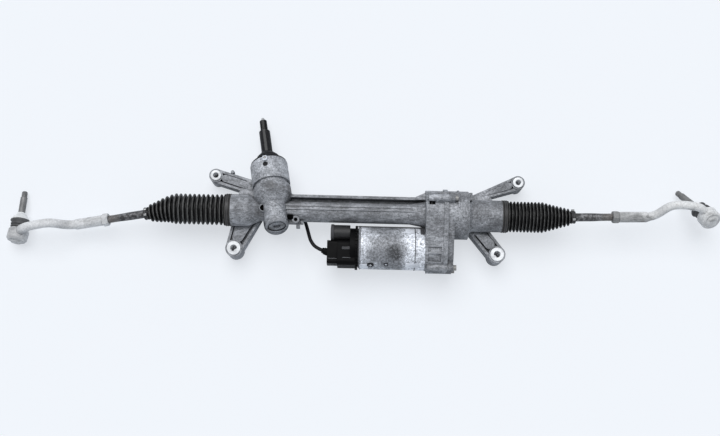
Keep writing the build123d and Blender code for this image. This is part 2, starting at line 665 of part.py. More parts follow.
def sensor_housing():
    """The cast tower round the torque sensor, closed by the dust cap."""
    body = column_bar(SENSOR_FLANGE_RADIUS, SENSOR_JOINT, SENSOR_TOP)
    body = fillet(body.edges().filter_by(GeomType.CIRCLE).sort_by(Axis.Y)[-1], 2.5)
    groove = column_ring(
        SENSOR_FLANGE_RADIUS + 1, SENSOR_FLANGE_RADIUS - GROOVE_DEPTH,
        SENSOR_JOINT - 1, SENSOR_JOINT + GROOVE_WIDTH,
    )
    body -= groove
    body -= column_bar(SENSOR_FLANGE_RADIUS - 2 * SENSOR_WALL, SENSOR_JOINT, SENSOR_TOP - SENSOR_WALL)
    body -= column_bar(CAP_RADIUS - 3, SENSOR_JOINT, SENSOR_TOP)
    return body - grommet_bar(CABLE_RADIUS + 3, -12, 14)


def dust_cap():
    """The rubber cap that seals the input shaft on top of the tower."""
    foot = column_bar(CAP_RADIUS, SENSOR_TOP, SENSOR_TOP + 10)
    foot += column_bar(COVER_RADIUS, SENSOR_TOP, SENSOR_TOP + COVER_THICK)
    crown = loft(
        [Circle(CAP_RADIUS), Pos(0, 0, CAP_TOP - SENSOR_TOP - 10) * Circle(SHAFT_RADIUS + 3)]
    )
    foot += COLUMN * (Pos(0, CENTRE_DISTANCE, SENSOR_TOP + 10) * crown)
    foot += column_bar(CAP_RADIUS - 3 - PRESS_GAP, SENSOR_TOP - SENSOR_WALL, SENSOR_TOP)
    return foot - column_bar(SHAFT_RADIUS + FREE_GAP, SENSOR_TOP - SENSOR_WALL, CAP_TOP)


def pinion_plug():
    start = -PINION_FOOT + 1
    plug = column_bar(PLUG_RADIUS, start, start + PLUG_THICK)
    recess = COLUMN * (
        Pos(0, CENTRE_DISTANCE, start) * extrude(RegularPolygon(PLUG_RADIUS * 0.5, 6), 4)
    )
    return plug - recess


def yoke():
    body = yoke_bar(YOKE_RADIUS, YOKE_TOP, YOKE_TOP + YOKE_LENGTH)
    body -= bar(RACK_RADIUS + RUNNING_GAP, PINION_X - YOKE_RADIUS, PINION_X + YOKE_RADIUS)
    return body - yoke_bar(YOKE_RADIUS - 6, YOKE_TOP + YOKE_LENGTH - 6, YOKE_TOP + YOKE_LENGTH)


def yoke_spring():
    """Two disc springs, face to face."""
    foot = YOKE_TOP + YOKE_LENGTH
    thick = 1.4
    edge = YOKE_RADIUS - 7
    rise = SPRING_ROOM / 2 + 0.5
    cone = make_face(Polyline((6, 0), (edge, rise), (edge, rise + thick), (6, thick), close=True))
    disc = revolve(Plane.XZ * cone, Axis.Z)
    lower = Pos(0, 0, foot - SPRING_ROOM) * disc
    frame = Plane(origin=(PINION_X, 0, 0), x_dir=(1, 0, 0), z_dir=-TOOTH_NORMAL)
    upper = Pos(0, 0, foot + SPRING_ROOM) * (Rot(180, 0, 0) * disc)
    return [frame * lower, frame * upper]


def yoke_plug():
    start = YOKE_TOP + YOKE_LENGTH + SPRING_ROOM
    plug = yoke_bar(YOKE_RADIUS - PRESS_GAP, start, YOKE_BARREL_END)
    frame = Plane(
        origin=Vector(PINION_X, 0, 0) - TOOTH_NORMAL * (YOKE_BARREL_END - 5),
        x_dir=(1, 0, 0), z_dir=-TOOTH_NORMAL,
    )
    return plug - frame * extrude(RegularPolygon(YOKE_RADIUS * 0.5, 6), 6)


# ================================================================= belt drive and motor
STOP_FACE_LEFT = -(BALL_HALF_SPAN - SOCKET_BACK - RACK_TRAVEL)
RACK_BUSH_LENGTH = 16.0
RACK_BUSH_RADIUS = 18.0


def rack_bush():
    return ring(
        RACK_BUSH_RADIUS, RACK_RADIUS + RUNNING_GAP, STOP_FACE_LEFT + FREE_GAP,
        STOP_FACE_LEFT + RACK_BUSH_LENGTH,
    )


def ball_nut():
    """The nut, its bearing seat and the tube where the balls return."""
    body = bar(NUT_RADIUS, BELT_START - 3, NUT_END - 2)
    body += bar(NUT_RADIUS + 5, BELT_START + BELT_WIDTH + 2, BELT_START + BELT_WIDTH + 7)
    return body - bar(RACK_RADIUS + FREE_GAP, BELT_START - 4, NUT_END)


def pulley(radius, bore, y=0.0, z=0.0):
    """A belt pulley with a guide flange at each side."""
    end = BELT_START + BELT_WIDTH
    body = bar(radius, BELT_START, end, y, z)
    body += bar(radius + 2, BELT_START - 2, BELT_START - 0.4, y, z)
    body += bar(radius, BELT_START - 1, BELT_START, y, z)
    return body - bar(bore, BELT_START - 3, end + 1, y, z)


def belt():
    """The toothed belt's closed loop, standing just off both pulleys."""
    gap = FREE_GAP
    outer = drive_outline(
        NUT_PULLEY_RADIUS + gap + BELT_THICK, MOTOR_PULLEY_RADIUS + gap + BELT_THICK
    )
    inner = drive_outline(NUT_PULLEY_RADIUS + gap, MOTOR_PULLEY_RADIUS + gap)
    start = BELT_START + FREE_GAP
    return slab(outer, start, BELT_START + BELT_WIDTH) - slab(inner, start, BELT_START + BELT_WIDTH)


def nut_bearing():
    start = NUT_END - BEARING_LENGTH
    body = ring(BEARING_RADIUS, NUT_RADIUS + RUNNING_GAP, start, start + BEARING_LENGTH)
    groove = ring(
        BEARING_RADIUS - 4, NUT_RADIUS + 5, start + BEARING_LENGTH - 2, start + BEARING_LENGTH + 1
    )
    return body - groove


def housing_screws():
    screws = []
    for y, z, _, _ in screw_places():
        screw = bar(SCREW_RADIUS, SPLIT_X - 26, COVER_END, y, z)
        screw += bar(SCREW_HEAD_RADIUS, COVER_END, COVER_END + SCREW_HEAD, y, z)
        hexagon = Plane(origin=(COVER_END + SCREW_HEAD - 3, y, z), z_dir=(1, 0, 0))
        screws.append(screw - hexagon * extrude(RegularPolygon(2.8, 6), 4))
    return screws


def motor_case():
    """The drawn motor can, open at its front and closed behind the stator."""
    y, z = MOTOR_FRONT, MOTOR_DROP
    can = turned(
        [
            (0, 0), (0, MOTOR_RADIUS - 4), (4, MOTOR_RADIUS),
            (BELT_HOUSING_START - MOTOR_START, MOTOR_RADIUS), (BELT_HOUSING_START - MOTOR_START, 0),
        ]
    )
    can = Pos(MOTOR_START, y, z) * can
    can += bar(MOTOR_RADIUS + BEAD_RISE, BEAD_X, BEAD_X + BEAD_WIDTH, y, z)
    can -= bar(MOTOR_RADIUS - MOTOR_WALL, MOTOR_START + MOTOR_WALL, BELT_HOUSING_START, y, z)
    can += bar(MOTOR_BEARING_RADIUS + 3, MOTOR_START, MOTOR_START + MOTOR_BEARING_LENGTH + 2, y, z)
    return can - bar(
        MOTOR_BEARING_RADIUS + PRESS_GAP, MOTOR_START + 2, MOTOR_START + MOTOR_BEARING_LENGTH + 3, y, z
    )


def stator():
    """The wound stator, with twelve teeth round its bore."""
    start = MOTOR_START + 18
    y, z = MOTOR_FRONT, MOTOR_DROP
    body = ring(MOTOR_RADIUS - MOTOR_WALL - PRESS_GAP, STATOR_BORE, start, start + STATOR_LENGTH, y, z)
    slot = Pos(0, STATOR_BORE + 4.5, 0) * Box(5, 7, STATOR_LENGTH)
    frame = Plane(origin=(start + STATOR_LENGTH / 2, y, z), z_dir=(1, 0, 0))
    return body - [frame * (Rot(0, 0, i * 30) * slot) for i in range(12)]


def motor_bearings():
    """One ball bearing behind the rotor and one in the drive-end shield."""
    y, z = MOTOR_FRONT, MOTOR_DROP
    places = (MOTOR_START + 2, BELT_HOUSING_START - MOTOR_BEARING_LENGTH - 1)
    outer, inner = MOTOR_BEARING_RADIUS, ROTOR_SHAFT_RADIUS + RUNNING_GAP
    rear = ring(outer, inner, places[0], places[0] + MOTOR_BEARING_LENGTH, y, z)
    front = ring(outer, inner, places[1], places[1] + MOTOR_BEARING_LENGTH, y, z)
    shield = ring(
        MOTOR_RADIUS - MOTOR_WALL - PRESS_GAP, MOTOR_BEARING_RADIUS + PRESS_GAP,
        BELT_HOUSING_START - 6, BELT_HOUSING_START, y, z,
    )
    lip = ring(MOTOR_BEARING_RADIUS + 3, MOTOR_BEARING_RADIUS - 1, BELT_HOUSING_START - 1,
               BELT_HOUSING_START, y, z)
    return [rear, front, shield + lip]


def rotor():
    y, z = MOTOR_FRONT, MOTOR_DROP
    body = bar(ROTOR_SHAFT_RADIUS, MOTOR_START + 3, BELT_START + BELT_WIDTH + 3, y, z)
    body += bar(STATOR_BORE - AIR_GAP, MOTOR_START + 20, MOTOR_START + 16 + STATOR_LENGTH, y, z)
    return body


def motor_plug():
    """The rubber plug in the top of the motor can's front."""
    turn = math.radians(PLUG_ANGLE)
    out = Vector(0, math.cos(turn), math.sin(turn))
    centre = Vector(PLUG_X, MOTOR_FRONT, MOTOR_DROP) + out * (MOTOR_RADIUS - 0.8)
    frame = Plane(origin=centre, x_dir=(1, 0, 0), z_dir=out)
    plug = frame * extrude(SlotOverall(13, 9), 2.4)
    return plug - bar(MOTOR_RADIUS, MOTOR_START, BELT_HOUSING_START, MOTOR_FRONT, MOTOR_DROP)


# ================================================================= motor electronics
ECU_START = MOTOR_START - ECU_FLANGE_THICK - PRESS_GAP


def ecu_housing():
    """The control unit on the back of the motor: comb-edged flange, body and side housing."""
    y, z = MOTOR_FRONT, MOTOR_DROP
    start = ECU_START
    flange = bar(ECU_FLANGE_RADIUS, start, start + ECU_FLANGE_THICK, y, z)
    slot = Pos(ECU_FLANGE_RADIUS, 0, 0) * Box(4, 2.4, ECU_FLANGE_THICK + 2)
    frame = Plane(origin=(start + ECU_FLANGE_THICK / 2, y, z), z_dir=(1, 0, 0))
    turn = 360 / ECU_COMBS
    flange -= [frame * (Rot(0, 0, i * turn) * slot) for i in range(ECU_COMBS)]
    body = block(
        (start - ECU_BODY_LENGTH, start + 1),
        (ECU_BODY_FRONT, ECU_BODY_REAR),
        (ECU_BODY_FOOT, ECU_BODY_TOP),
    )
    body = fillet(body.edges().filter_by(Axis.X), 9)
    backing = bar(ECU_FLANGE_RADIUS - 5, start - ECU_BACKING, start + 1, y, z)
    return flange + body + backing


def power_connector():
    """The lower socket block; its mouth faces away from the motor."""
    end = ECU_START - ECU_BODY_LENGTH
    x = (end - POWER_LENGTH, end)
    shell = block(x, (POWER_FRONT, POWER_REAR), (POWER_FOOT, POWER_TOP))
    shell = fillet(shell.edges().filter_by(Axis.X), 5)
    wall = SOCKET_WALL
    middle = (POWER_FRONT + POWER_REAR) / 2
    for low, high in ((POWER_FRONT + wall, middle - 10), (middle + 14, POWER_REAR - wall)):
        shell -= block((x[0] - 1, x[1] - 5), (low, high), (POWER_FOOT + wall + 2, POWER_TOP - wall - 2))
        pin_y = (low + high) / 2
        for pin_z in (-13, 3):
            shell += block((x[0] + 5, x[1]), (pin_y - 1.5, pin_y + 1.5), (pin_z - 3, pin_z + 3))
    return shell


def signal_connector():
    """The round upper socket beside the unit's body."""
    y, z = SIGNAL_AXIS
    shell = bar(SIGNAL_RADIUS, SIGNAL_END + 5, ECU_START - ECU_BACKING - PRESS_GAP, y, z)
    shell += bar(SIGNAL_RADIUS - 4.5, SIGNAL_END, SIGNAL_END + 6, y, z)
    shell -= bar(SIGNAL_RADIUS - 4.5 - SOCKET_WALL, SIGNAL_END - 1, SIGNAL_END + 22, y, z)
    for pin_y in (-3, 3):
        for pin_z in (-3, 3):
            shell += bar(1.2, SIGNAL_END + 6, SIGNAL_END + 23, y + pin_y, z + pin_z)
    return shell


def cable_gland():
    """The angled gland where the sensor cable enters the control unit."""
    end, before = Vector(*CABLE_ROUTE[-1]), Vector(*CABLE_ROUTE[-2])
    frame = Plane(origin=end, z_dir=(end - before).normalized())
    face = ECU_START - ECU_BODY_LENGTH - POWER_LENGTH
    body = frame * (
        extrude(Circle(CABLE_RADIUS + 2), 20)
        + Pos(0, 0, 4) * extrude(Circle(CABLE_RADIUS + 3.5), 16)
    )
    return body & block((end.X - 10, face), (POWER_FRONT, POWER_REAR), (POWER_FOOT, POWER_TOP))


def grommet_frame():
    start, after = Vector(*CABLE_ROUTE[0]), Vector(*CABLE_ROUTE[1])
    return Plane(origin=start, z_dir=(start - after).normalized())


def grommet_bar(radius, start, end):
    frame = grommet_frame()
    return frame * (Pos(0, 0, start) * extrude(Circle(radius), end - start))


def cable_grommet():
    return grommet_bar(CABLE_RADIUS + 3 - PRESS_GAP, 0, 12)


def cable_turns():
    """The radius of each bend: 0.45 of the shorter run over the tangent of half the turn."""
    route = [Vector(*point) for point in CABLE_ROUTE]
    radii = []
    for before, here, after in zip(route, route[1:], route[2:]):
        arriving, leaving = here - before, after - here
        half = math.radians(arriving.get_angle(leaving)) / 2
        radii.append(0.45 * min(arriving.length, leaving.length) / math.tan(half))
    return radii


def sensor_cable():
    path = FilletPolyline(*CABLE_ROUTE, radius=cable_turns())
    section = Plane(origin=path @ 0, z_dir=path % 0) * Circle(CABLE_RADIUS)
    return sweep(section, path), path.length


def torque_sensor():
    body = column_ring(SENSOR_FLANGE_RADIUS - 2 * SENSOR_WALL - PRESS_GAP, SHAFT_RADIUS + 2, 60, 72)
    return body + column_ring(SHAFT_RADIUS + 6, SHAFT_RADIUS + 2, 72, 84)


def pinion_bearings():
    lower = column_ring(LOWER_BEARING_RADIUS, LOWER_JOURNAL_RADIUS, *LOWER_BEARING)
    upper = column_ring(UPPER_BEARING_RADIUS, UPPER_JOURNAL_RADIUS, *UPPER_BEARING)
    return [lower, upper]


# ================================================================= tie rods
def rod_frame(rest):
    """Frame at the inner ball: X outwards along the rod, Z towards the stud."""
    side = rest["side"]
    swing, dip, turn = (math.radians(rest[key]) for key in ("swing", "dip", "turn"))
    along = unit(
        side * math.cos(dip) * math.cos(swing), -math.cos(dip) * math.sin(swing), -math.sin(dip)
    )
    level = Vector(0, math.cos(turn), math.sin(turn))
    towards_stud = (level - along * level.dot(along)).normalized()
    origin = Vector(RACK_REST + side * BALL_HALF_SPAN, 0, 0)
    return Plane(origin=origin, x_dir=along, z_dir=towards_stud)


def head_frame(rest, tilt=0.0):
    """Frame at the outer ball: Z along the stud, X away from the rod."""
    frame = rod_frame(rest)
    lean = math.radians(HEAD_LEAN + tilt)
    axis = (frame.z_dir * math.cos(lean) - frame.x_dir * math.sin(lean)).normalized()
    out = (frame.x_dir - axis * frame.x_dir.dot(axis)).normalized()
    return Plane(origin=frame.origin + frame.x_dir * ROD_LENGTH, x_dir=out, z_dir=axis)


def joint_socket(side):
    """The inner joint's socket, screwed to the rack; its mouth lets the rod swing."""
    inner = INNER_BALL_RADIUS + RACE_WALL + PRESS_GAP
    body = turned(
        [
            (-SOCKET_BACK, 0), (-SOCKET_BACK, SOCKET_RADIUS), (4, SOCKET_RADIUS),
            (SOCKET_FRONT, SOCKET_RADIUS - 3.5), (SOCKET_FRONT, 0),
        ]
    )
    body -= Sphere(inner)
    body -= turned([(0, 0), (0, inner - 2.6), (SOCKET_FRONT + 1, inner + 0.9), (SOCKET_FRONT + 1, 0)])
    flats = [Pos(-SOCKET_BACK + 4, 0, s * (SOCKET_RADIUS + 3)) * Box(8.1, 40, 8) for s in (-1, 1)]
    body -= flats
    mirrored = body if side > 0 else body.mirror(Plane.YZ)
    return Pos(RACK_REST + side * BALL_HALF_SPAN, 0, 0) * mirrored


def ball_races(side):
    """The plastic races: a preload cap behind the ball and a band round it."""
    shell = Sphere(INNER_BALL_RADIUS + RACE_WALL) - Sphere(INNER_BALL_RADIUS + BALL_GAP)
    wide = 2 * SOCKET_RADIUS
    back = shell & block((-wide, -INNER_BALL_RADIUS * CAP_SHARE), (-wide, wide), (-wide, wide))
    front = shell & block(
        (-INNER_BALL_RADIUS * BAND_SHARE, SOCKET_FRONT - 3.5), (-wide, wide), (-wide, wide)
    )
    place = Pos(RACK_REST + side * BALL_HALF_SPAN, 0, 0)
    if side < 0:
        back, front = back.mirror(Plane.YZ), front.mirror(Plane.YZ)
    return place * back, place * front


def tie_rod(frame):
    """The inner ball with its rod, tapering to the threaded end."""
    neck = 24.0
    rod = turned(
        [
            (0, 0), (0, ROD_NECK_RADIUS), (neck, ROD_NECK_RADIUS), (neck + 8, ROD_RADIUS),
            (ROD_TAPER_END - 50, ROD_RADIUS), (ROD_TAPER_END - 20, THREAD_RADIUS),
            (SLEEVE_START + THREAD_DEPTH, THREAD_RADIUS), (SLEEVE_START + THREAD_DEPTH, 0),
        ]
    )
    return frame * (Sphere(INNER_BALL_RADIUS) + rod)


def lock_nut(frame):
    start = SLEEVE_START - NUT_THICK
    foot = Plane(origin=(start, 0, 0), x_dir=(0, 1, 0), z_dir=(1, 0, 0))
    nut = foot * extrude(RegularPolygon(NUT_FLATS / 2, 6, major_radius=False), NUT_THICK)
    nut &= turned(
        [
            (start, 0), (start, NUT_FLATS / 2), (start + 1.5, NUT_FLATS / 2 * 1.16),
            (SLEEVE_START - 1.5, NUT_FLATS / 2 * 1.16), (SLEEVE_START, NUT_FLATS / 2),
            (SLEEVE_START, 0),
        ]
    )
    return frame * (nut - bar(THREAD_RADIUS + PRESS_GAP, start, SLEEVE_START))


def rod_end(rest):
    """The forged end: threaded sleeve, bowed arm and the head that holds the outer ball."""
    frame, head = rod_frame(rest), head_frame(rest)
    bow = -rest["side"] * ARM_BOW
    sleeve_end = SLEEVE_START + 62
    sleeve = turned(
        [
            (SLEEVE_START, 0), (SLEEVE_START, SLEEVE_RADIUS - 1), (SLEEVE_START + 1, SLEEVE_RADIUS),
            (sleeve_end - 8, SLEEVE_RADIUS), (sleeve_end, SLEEVE_RADIUS - 3), (sleeve_end, 0),
        ]
    )
    line = Spline(
        (sleeve_end - 12, 0, 0), (sleeve_end + 34, bow * 0.82, 0),
        (ROD_LENGTH - 36, bow * 0.86, 0), (ROD_LENGTH - 8, bow * 0.30, 0),
        tangents=[(1, 0, 0), (0.42, -bow / ARM_BOW, 0)],
    )
    start = Plane(origin=line @ 0, x_dir=(0, 0, 1), z_dir=line % 0)
    arm = sweep(start * Ellipse(SLEEVE_RADIUS * 0.86, ARM_WIDTH * 0.72), line)
    shell = turned(
        [
            (-HEAD_DEPTH, 0), (-HEAD_DEPTH, HEAD_RADIUS - 3), (-HEAD_DEPTH + 4, HEAD_RADIUS),
            (HEAD_RISE - 4, HEAD_RADIUS), (HEAD_RISE, HEAD_RADIUS - 3), (HEAD_RISE, 0),
        ],
        Rot(0, -90, 0),
    )
    body = frame * (sleeve + arm) + head * shell
    body -= frame * bar(THREAD_RADIUS + PRESS_GAP, SLEEVE_START - 1, SLEEVE_START + THREAD_DEPTH + 2)
    body -= head * Sphere(OUTER_BALL_RADIUS + OUTER_RACE_WALL + PRESS_GAP)
    body -= head * (Pos(0, 0, -HEAD_DEPTH - 1) * extrude(Circle(END_CAP_RADIUS + PRESS_GAP), 8))
    body -= head * (Pos(0, 0, HEAD_RISE) * extrude(Circle(BOOT_RADIUS + 1), BOOT_TOP))
    mouth = Cone(OUTER_BALL_RADIUS - 1, OUTER_BALL_RADIUS + 1.5, HEAD_RISE, align=(Align.CENTER, Align.CENTER, Align.MIN))
    return body - head * (Pos(0, 0, 1) * mouth)


def end_cap(rest):
    """The disc rolled into the head behind the ball, domed outwards."""
    disc = turned(
        [
            (-HEAD_DEPTH - 4, 0), (-HEAD_DEPTH - 4, END_CAP_RADIUS - 5), (-HEAD_DEPTH, END_CAP_RADIUS),
            (-HEAD_DEPTH + 2, END_CAP_RADIUS), (-HEAD_DEPTH + 2, 0),
        ],
        Rot(0, -90, 0),
    )
    disc -= Sphere(OUTER_BALL_RADIUS + OUTER_RACE_WALL + PRESS_GAP)
    return head_frame(rest) * disc


def stud_seat(rest):
    """The plastic seat round the outer ball."""
    shell = Sphere(OUTER_BALL_RADIUS + OUTER_RACE_WALL) - Sphere(OUTER_BALL_RADIUS + BALL_GAP)
    shell -= Pos(0, 0, 5) * extrude(Circle(OUTER_BALL_RADIUS * 1.3), OUTER_BALL_RADIUS * 2)
    return head_frame(rest) * shell


def stud(rest):
    """The ball stud: ball, neck, straight shank and threaded tip."""
    neck_end = SHANK_START
    shaft = turned(
        [
            (0, 0), (0, STUD_NECK_RADIUS), (neck_end - 8, STUD_NECK_RADIUS),
            (neck_end, SHANK_RADIUS), (SHANK_END, SHANK_RADIUS),
            (SHANK_END + 1.5, STUD_TIP_RADIUS), (STUD_LENGTH - 1, STUD_TIP_RADIUS),
            (STUD_LENGTH, STUD_TIP_RADIUS - 1), (STUD_LENGTH, 0),
        ],
        Rot(0, -90, 0),
    )
    key = Pos(0, 0, STUD_LENGTH - 5) * extrude(RegularPolygon(2.6, 6), 6)
    return head_frame(rest, rest["tilt"]) * (Sphere(OUTER_BALL_RADIUS) + shaft - key)


def stud_boot(rest):
    """The soft boot from the head to the stud, with its upper collar round the shank."""
    low, high = head_frame(rest), head_frame(rest, rest["tilt"])
    foot_at = HEAD_RISE + FREE_GAP

    def skin(thin):
        foot = low * (Pos(0, 0, foot_at) * Circle(BOOT_RADIUS - thin))
        waist = high * (Pos(0, 0, BOOT_TOP) * Circle(BOOT_RADIUS - thin))
        neck = high * (Pos(0, 0, SHANK_START) * Circle(SHANK_RADIUS + FREE_GAP + 2.2 - thin))
        return loft([foot, waist], ruled=True) + loft([waist, neck], ruled=True)

    shaft = high * extrude(Circle(SHANK_RADIUS + FREE_GAP), SHANK_START + 1)
    return skin(0) - skin(2.0) - shaft


# ================================================================= bellows
def folds(start, end, count, crest_start, crest_end):
    """The zigzag of a run of folds, as (along, radius) points from crest to crest."""
    points = []
    step = (end - start) / count
    depth = BELLOWS_RADIUS - BELLOWS_VALLEY
    for i in range(count):
        crest = crest_start + (crest_end - crest_start) * i / count
        points += [(start + step * i, crest - depth), (start + step * (i + 0.5), crest)]
    return points


def bellows(rest):
    """The boot over the inner joint: cuff on the housing, folds, and mouth on the rod."""
    side = rest["side"]
    run = BALL_HALF_SPAN + side * RACK_REST - HOUSING_HALF
    cuff_end = -run + BELLOWS_CUFF
    valley = BELLOWS_VALLEY
    bore = valley - BELLOWS_WALL
    mouth = ROD_RADIUS + 0.2
    taper_end = BELLOWS_MOUTH - MOUTH_LENGTH
    main = turned(
        [
            (-run + FREE_GAP, 0), (-run + FREE_GAP, SHOULDER_RADIUS - 1),
            (cuff_end, SHOULDER_RADIUS - 1),
            *folds(cuff_end, 0, BELLOWS_FOLDS, BELLOWS_RADIUS, BELLOWS_RADIUS),
            (0, valley), (8, valley - 1), (8, 0),
        ]
    )
    tail = turned(
        [
            (-2, 0), (-2, valley - 1),
            *folds(0, taper_end, BELLOWS_TAPER_FOLDS, BELLOWS_RADIUS, mouth + 5.5),
            (taper_end, mouth + 3), (BELLOWS_MOUTH, mouth + 3), (BELLOWS_MOUTH, 0),
        ]
    )
    seat = SEAT_RADIUS + PRESS_GAP
    main_room = turned(
        [
            (-run, 0), (-run, seat), (-run + SEAT_LENGTH + FREE_GAP, seat),
            (-run + SEAT_LENGTH + 2, bore),
            (4, bore), (4, 0),
        ]
    )
    tail_room = turned(
        [
            (-4, 0), (-4, bore - 0.2), (0, bore - 0.2), (taper_end - 6, mouth),
            (BELLOWS_MOUTH + 1, mouth), (BELLOWS_MOUTH + 1, 0),
        ]
    )
    if side < 0:
        main, main_room = main.mirror(Plane.YZ), main_room.mirror(Plane.YZ)
    ball = Pos(RACK_REST + side * BALL_HALF_SPAN, 0, 0)
    frame = rod_frame(rest)
    return (ball * main + frame * tail) - ball * main_room - frame * tail_room


def small_clamp(frame):
    start = BELLOWS_MOUTH - MOUTH_LENGTH + 1
    inner = ROD_RADIUS + 3.2 + 0.1
    band = ring(inner + CLAMP_THICK, inner, start, start + CLAMP_WIDTH)
    ear = Pos(start + CLAMP_WIDTH / 2, 0, inner + 3) * Box(CLAMP_WIDTH, 3, 5)
    return frame * (band + ear)


def large_clamps():
    bands = []
    for side in (-1, 1):
        start = HOUSING_HALF + 3
        inner = SHOULDER_RADIUS - 1 + 0.1
        band = ring(inner + CLAMP_THICK, inner, start, start + CLAMP_WIDTH)
        ear = Pos(start + CLAMP_WIDTH / 2, 0, -inner - 2.5) * Box(CLAMP_WIDTH, 4, 4)
        clamp = band + ear
        bands.append(clamp if side > 0 else clamp.mirror(Plane.YZ))
    return bands


# ================================================================= writing the pieces
def write(name, *pieces):
    """Write one node, moved from the rack's frame to the mounting frame."""
    solids = [solid for piece in pieces for solid in piece.solids()]
    shape = solids[0] if len(solids) == 1 else Compound(solids)
    export_step(Pos(0, AXIS_REACH, AXIS_HEIGHT) * shape, f"parts/{name}.step")


def main():
    os.makedirs("parts", exist_ok=True)
    write("rack_housing", rack_housing())
    write("gear_housing", gear_housing())
    write("sensor_housing", sensor_housing())
    write("housing_screws", *housing_screws())
    write("front_bushes", *bushes(FRONT_HOLE, FRONT_BUSH_RADIUS, FRONT_BORE_RADIUS))
    write("rear_bushes", *bushes(REAR_HOLE, REAR_BUSH_RADIUS, REAR_BORE_RADIUS))
    write("pinion_plug", pinion_plug())
    write("pinion_bearings", *pinion_bearings())
    write("yoke", yoke())
    write("yoke_spring", *yoke_spring())
    write("yoke_plug", yoke_plug())
    write("dust_cap", dust_cap())
    write("torque_sensor", torque_sensor())
    write("rack_bush", rack_bush())
    write("nut_bearing", nut_bearing())
    write("belt", belt())
    write("motor_case", motor_case())
    write("motor_bearings", *motor_bearings())
    write("stator", stator())
    write("motor_plug", motor_plug())
    write("ecu_housing", ecu_housing())
    write("power_connector", power_connector())
    write("signal_connector", signal_connector())
    write("cable_gland", cable_gland())
    write("cable_grommet", cable_grommet())
    cable, length = sensor_cable()
    print("cable bend radii", [round(radius, 1) for radius in cable_turns()])
    print("cable length", round(length, 1), "volume", round(cable.volume), "section x length",
          round(math.pi * CABLE_RADIUS**2 * length))
    write("sensor_cable", cable)
    write("large_clamps", *large_clamps())
    write("rack_bar", rack_bar())
    write("pinion", pinion())
    write("torsion_bar", torsion_bar())
    write("input_shaft", input_shaft())
    write("ball_nut", ball_nut())
    write("nut_pulley", pulley(NUT_PULLEY_RADIUS, NUT_RADIUS + PRESS_GAP))
    write("rotor", rotor())
    write("motor_pulley", pulley(MOTOR_PULLEY_RADIUS, ROTOR_SHAFT_RADIUS + PRESS_GAP, MOTOR_FRONT, MOTOR_DROP))
    for name, rest in (("left", LEFT_REST), ("right", RIGHT_REST)):
        frame = rod_frame(rest)
        back, front = ball_races(rest["side"])
        write(f"{name}_bellows", bellows(rest))
        write(f"{name}_joint_socket", joint_socket(rest["side"]))
        write(f"{name}_rear_race", back)
        write(f"{name}_front_race", front)
        write(f"{name}_tie_rod", tie_rod(frame))
        write(f"{name}_small_clamp", small_clamp(frame))
        write(f"{name}_lock_nut", lock_nut(frame))
        write(f"{name}_rod_end", rod_end(rest))
        write(f"{name}_end_cap", end_cap(rest))
        write(f"{name}_stud_seat", stud_seat(rest))
        write(f"{name}_stud", stud(rest))
        write(f"{name}_stud_boot", stud_boot(rest))


if __name__ == "__main__":
    main()
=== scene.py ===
"""Electric steering gear: finishes, rubber parts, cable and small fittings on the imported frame.

Sizes are in metres. X runs along the rack, +Y is the rear of the gear and +Z is up.
"""
import json
import math

import bpy
from bpy.props import FloatProperty, FloatVectorProperty, IntProperty, PointerProperty
from bpy.types import Operator, Panel, PropertyGroup
from mathutils import Matrix, Quaternion, Vector


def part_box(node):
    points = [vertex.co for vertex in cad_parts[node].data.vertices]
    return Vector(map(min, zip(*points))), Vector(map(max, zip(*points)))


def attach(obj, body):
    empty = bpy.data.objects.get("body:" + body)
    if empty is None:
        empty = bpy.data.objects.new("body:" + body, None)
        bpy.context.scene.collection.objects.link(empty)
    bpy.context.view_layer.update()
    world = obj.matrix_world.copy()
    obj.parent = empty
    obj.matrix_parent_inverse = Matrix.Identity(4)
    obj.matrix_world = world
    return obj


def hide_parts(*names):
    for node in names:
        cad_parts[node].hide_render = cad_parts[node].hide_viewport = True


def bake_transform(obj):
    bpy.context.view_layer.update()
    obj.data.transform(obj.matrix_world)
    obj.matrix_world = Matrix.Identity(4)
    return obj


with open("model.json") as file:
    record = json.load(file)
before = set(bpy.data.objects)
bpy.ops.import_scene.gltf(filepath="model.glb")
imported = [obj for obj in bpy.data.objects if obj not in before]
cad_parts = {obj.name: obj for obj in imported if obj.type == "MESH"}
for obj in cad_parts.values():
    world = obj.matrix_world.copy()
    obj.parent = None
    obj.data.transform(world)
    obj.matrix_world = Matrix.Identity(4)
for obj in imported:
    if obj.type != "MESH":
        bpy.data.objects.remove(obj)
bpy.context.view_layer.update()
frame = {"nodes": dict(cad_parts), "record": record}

bl_info = {
    "name": "Steering gear dresser",
    "version": (1, 0, 0),
    "blender": (4, 5, 0),
    "location": "3D View > Sidebar > Steering gear",
    "description": "Finishes, bellows, boots, cable and fittings for a steering gear frame",
    "category": "Object",
}

MM = 0.001
JOINTS = {joint["name"]: joint for joint in frame["record"]["behaviour"]["joints"]}
RACK_LINE = Vector(JOINTS["left_rod_swing"]["pos_m"])
RACK_Y = RACK_LINE.y
RACK_Z = RACK_LINE.z
UPRIGHT = Matrix.Rotation(-math.pi / 2, 4, "Y")  # turns X straight up
SHARP = math.radians(50)  # edges past this angle are rounded


# ---------------------------------------------------------------- places
def at_rack(x, y, z):
    """A point given in millimetres from the rack's axis, in the gear's own frame."""
    return Vector((x * MM, y * MM + RACK_Y, z * MM + RACK_Z))


def skin_height(node, x, y):
    """Height of a node's upper skin above the rack's axis, in millimetres."""
    found, place, _, _ = frame["nodes"][node].ray_cast(at_rack(x, y, 150), (0, 0, -1))
    if not found:
        raise RuntimeError(f"{node} has no skin at {x}, {y}")
    return (place.z - RACK_Z) / MM


def ball_place(joint_name):
    return Vector(JOINTS[joint_name]["pos_m"])


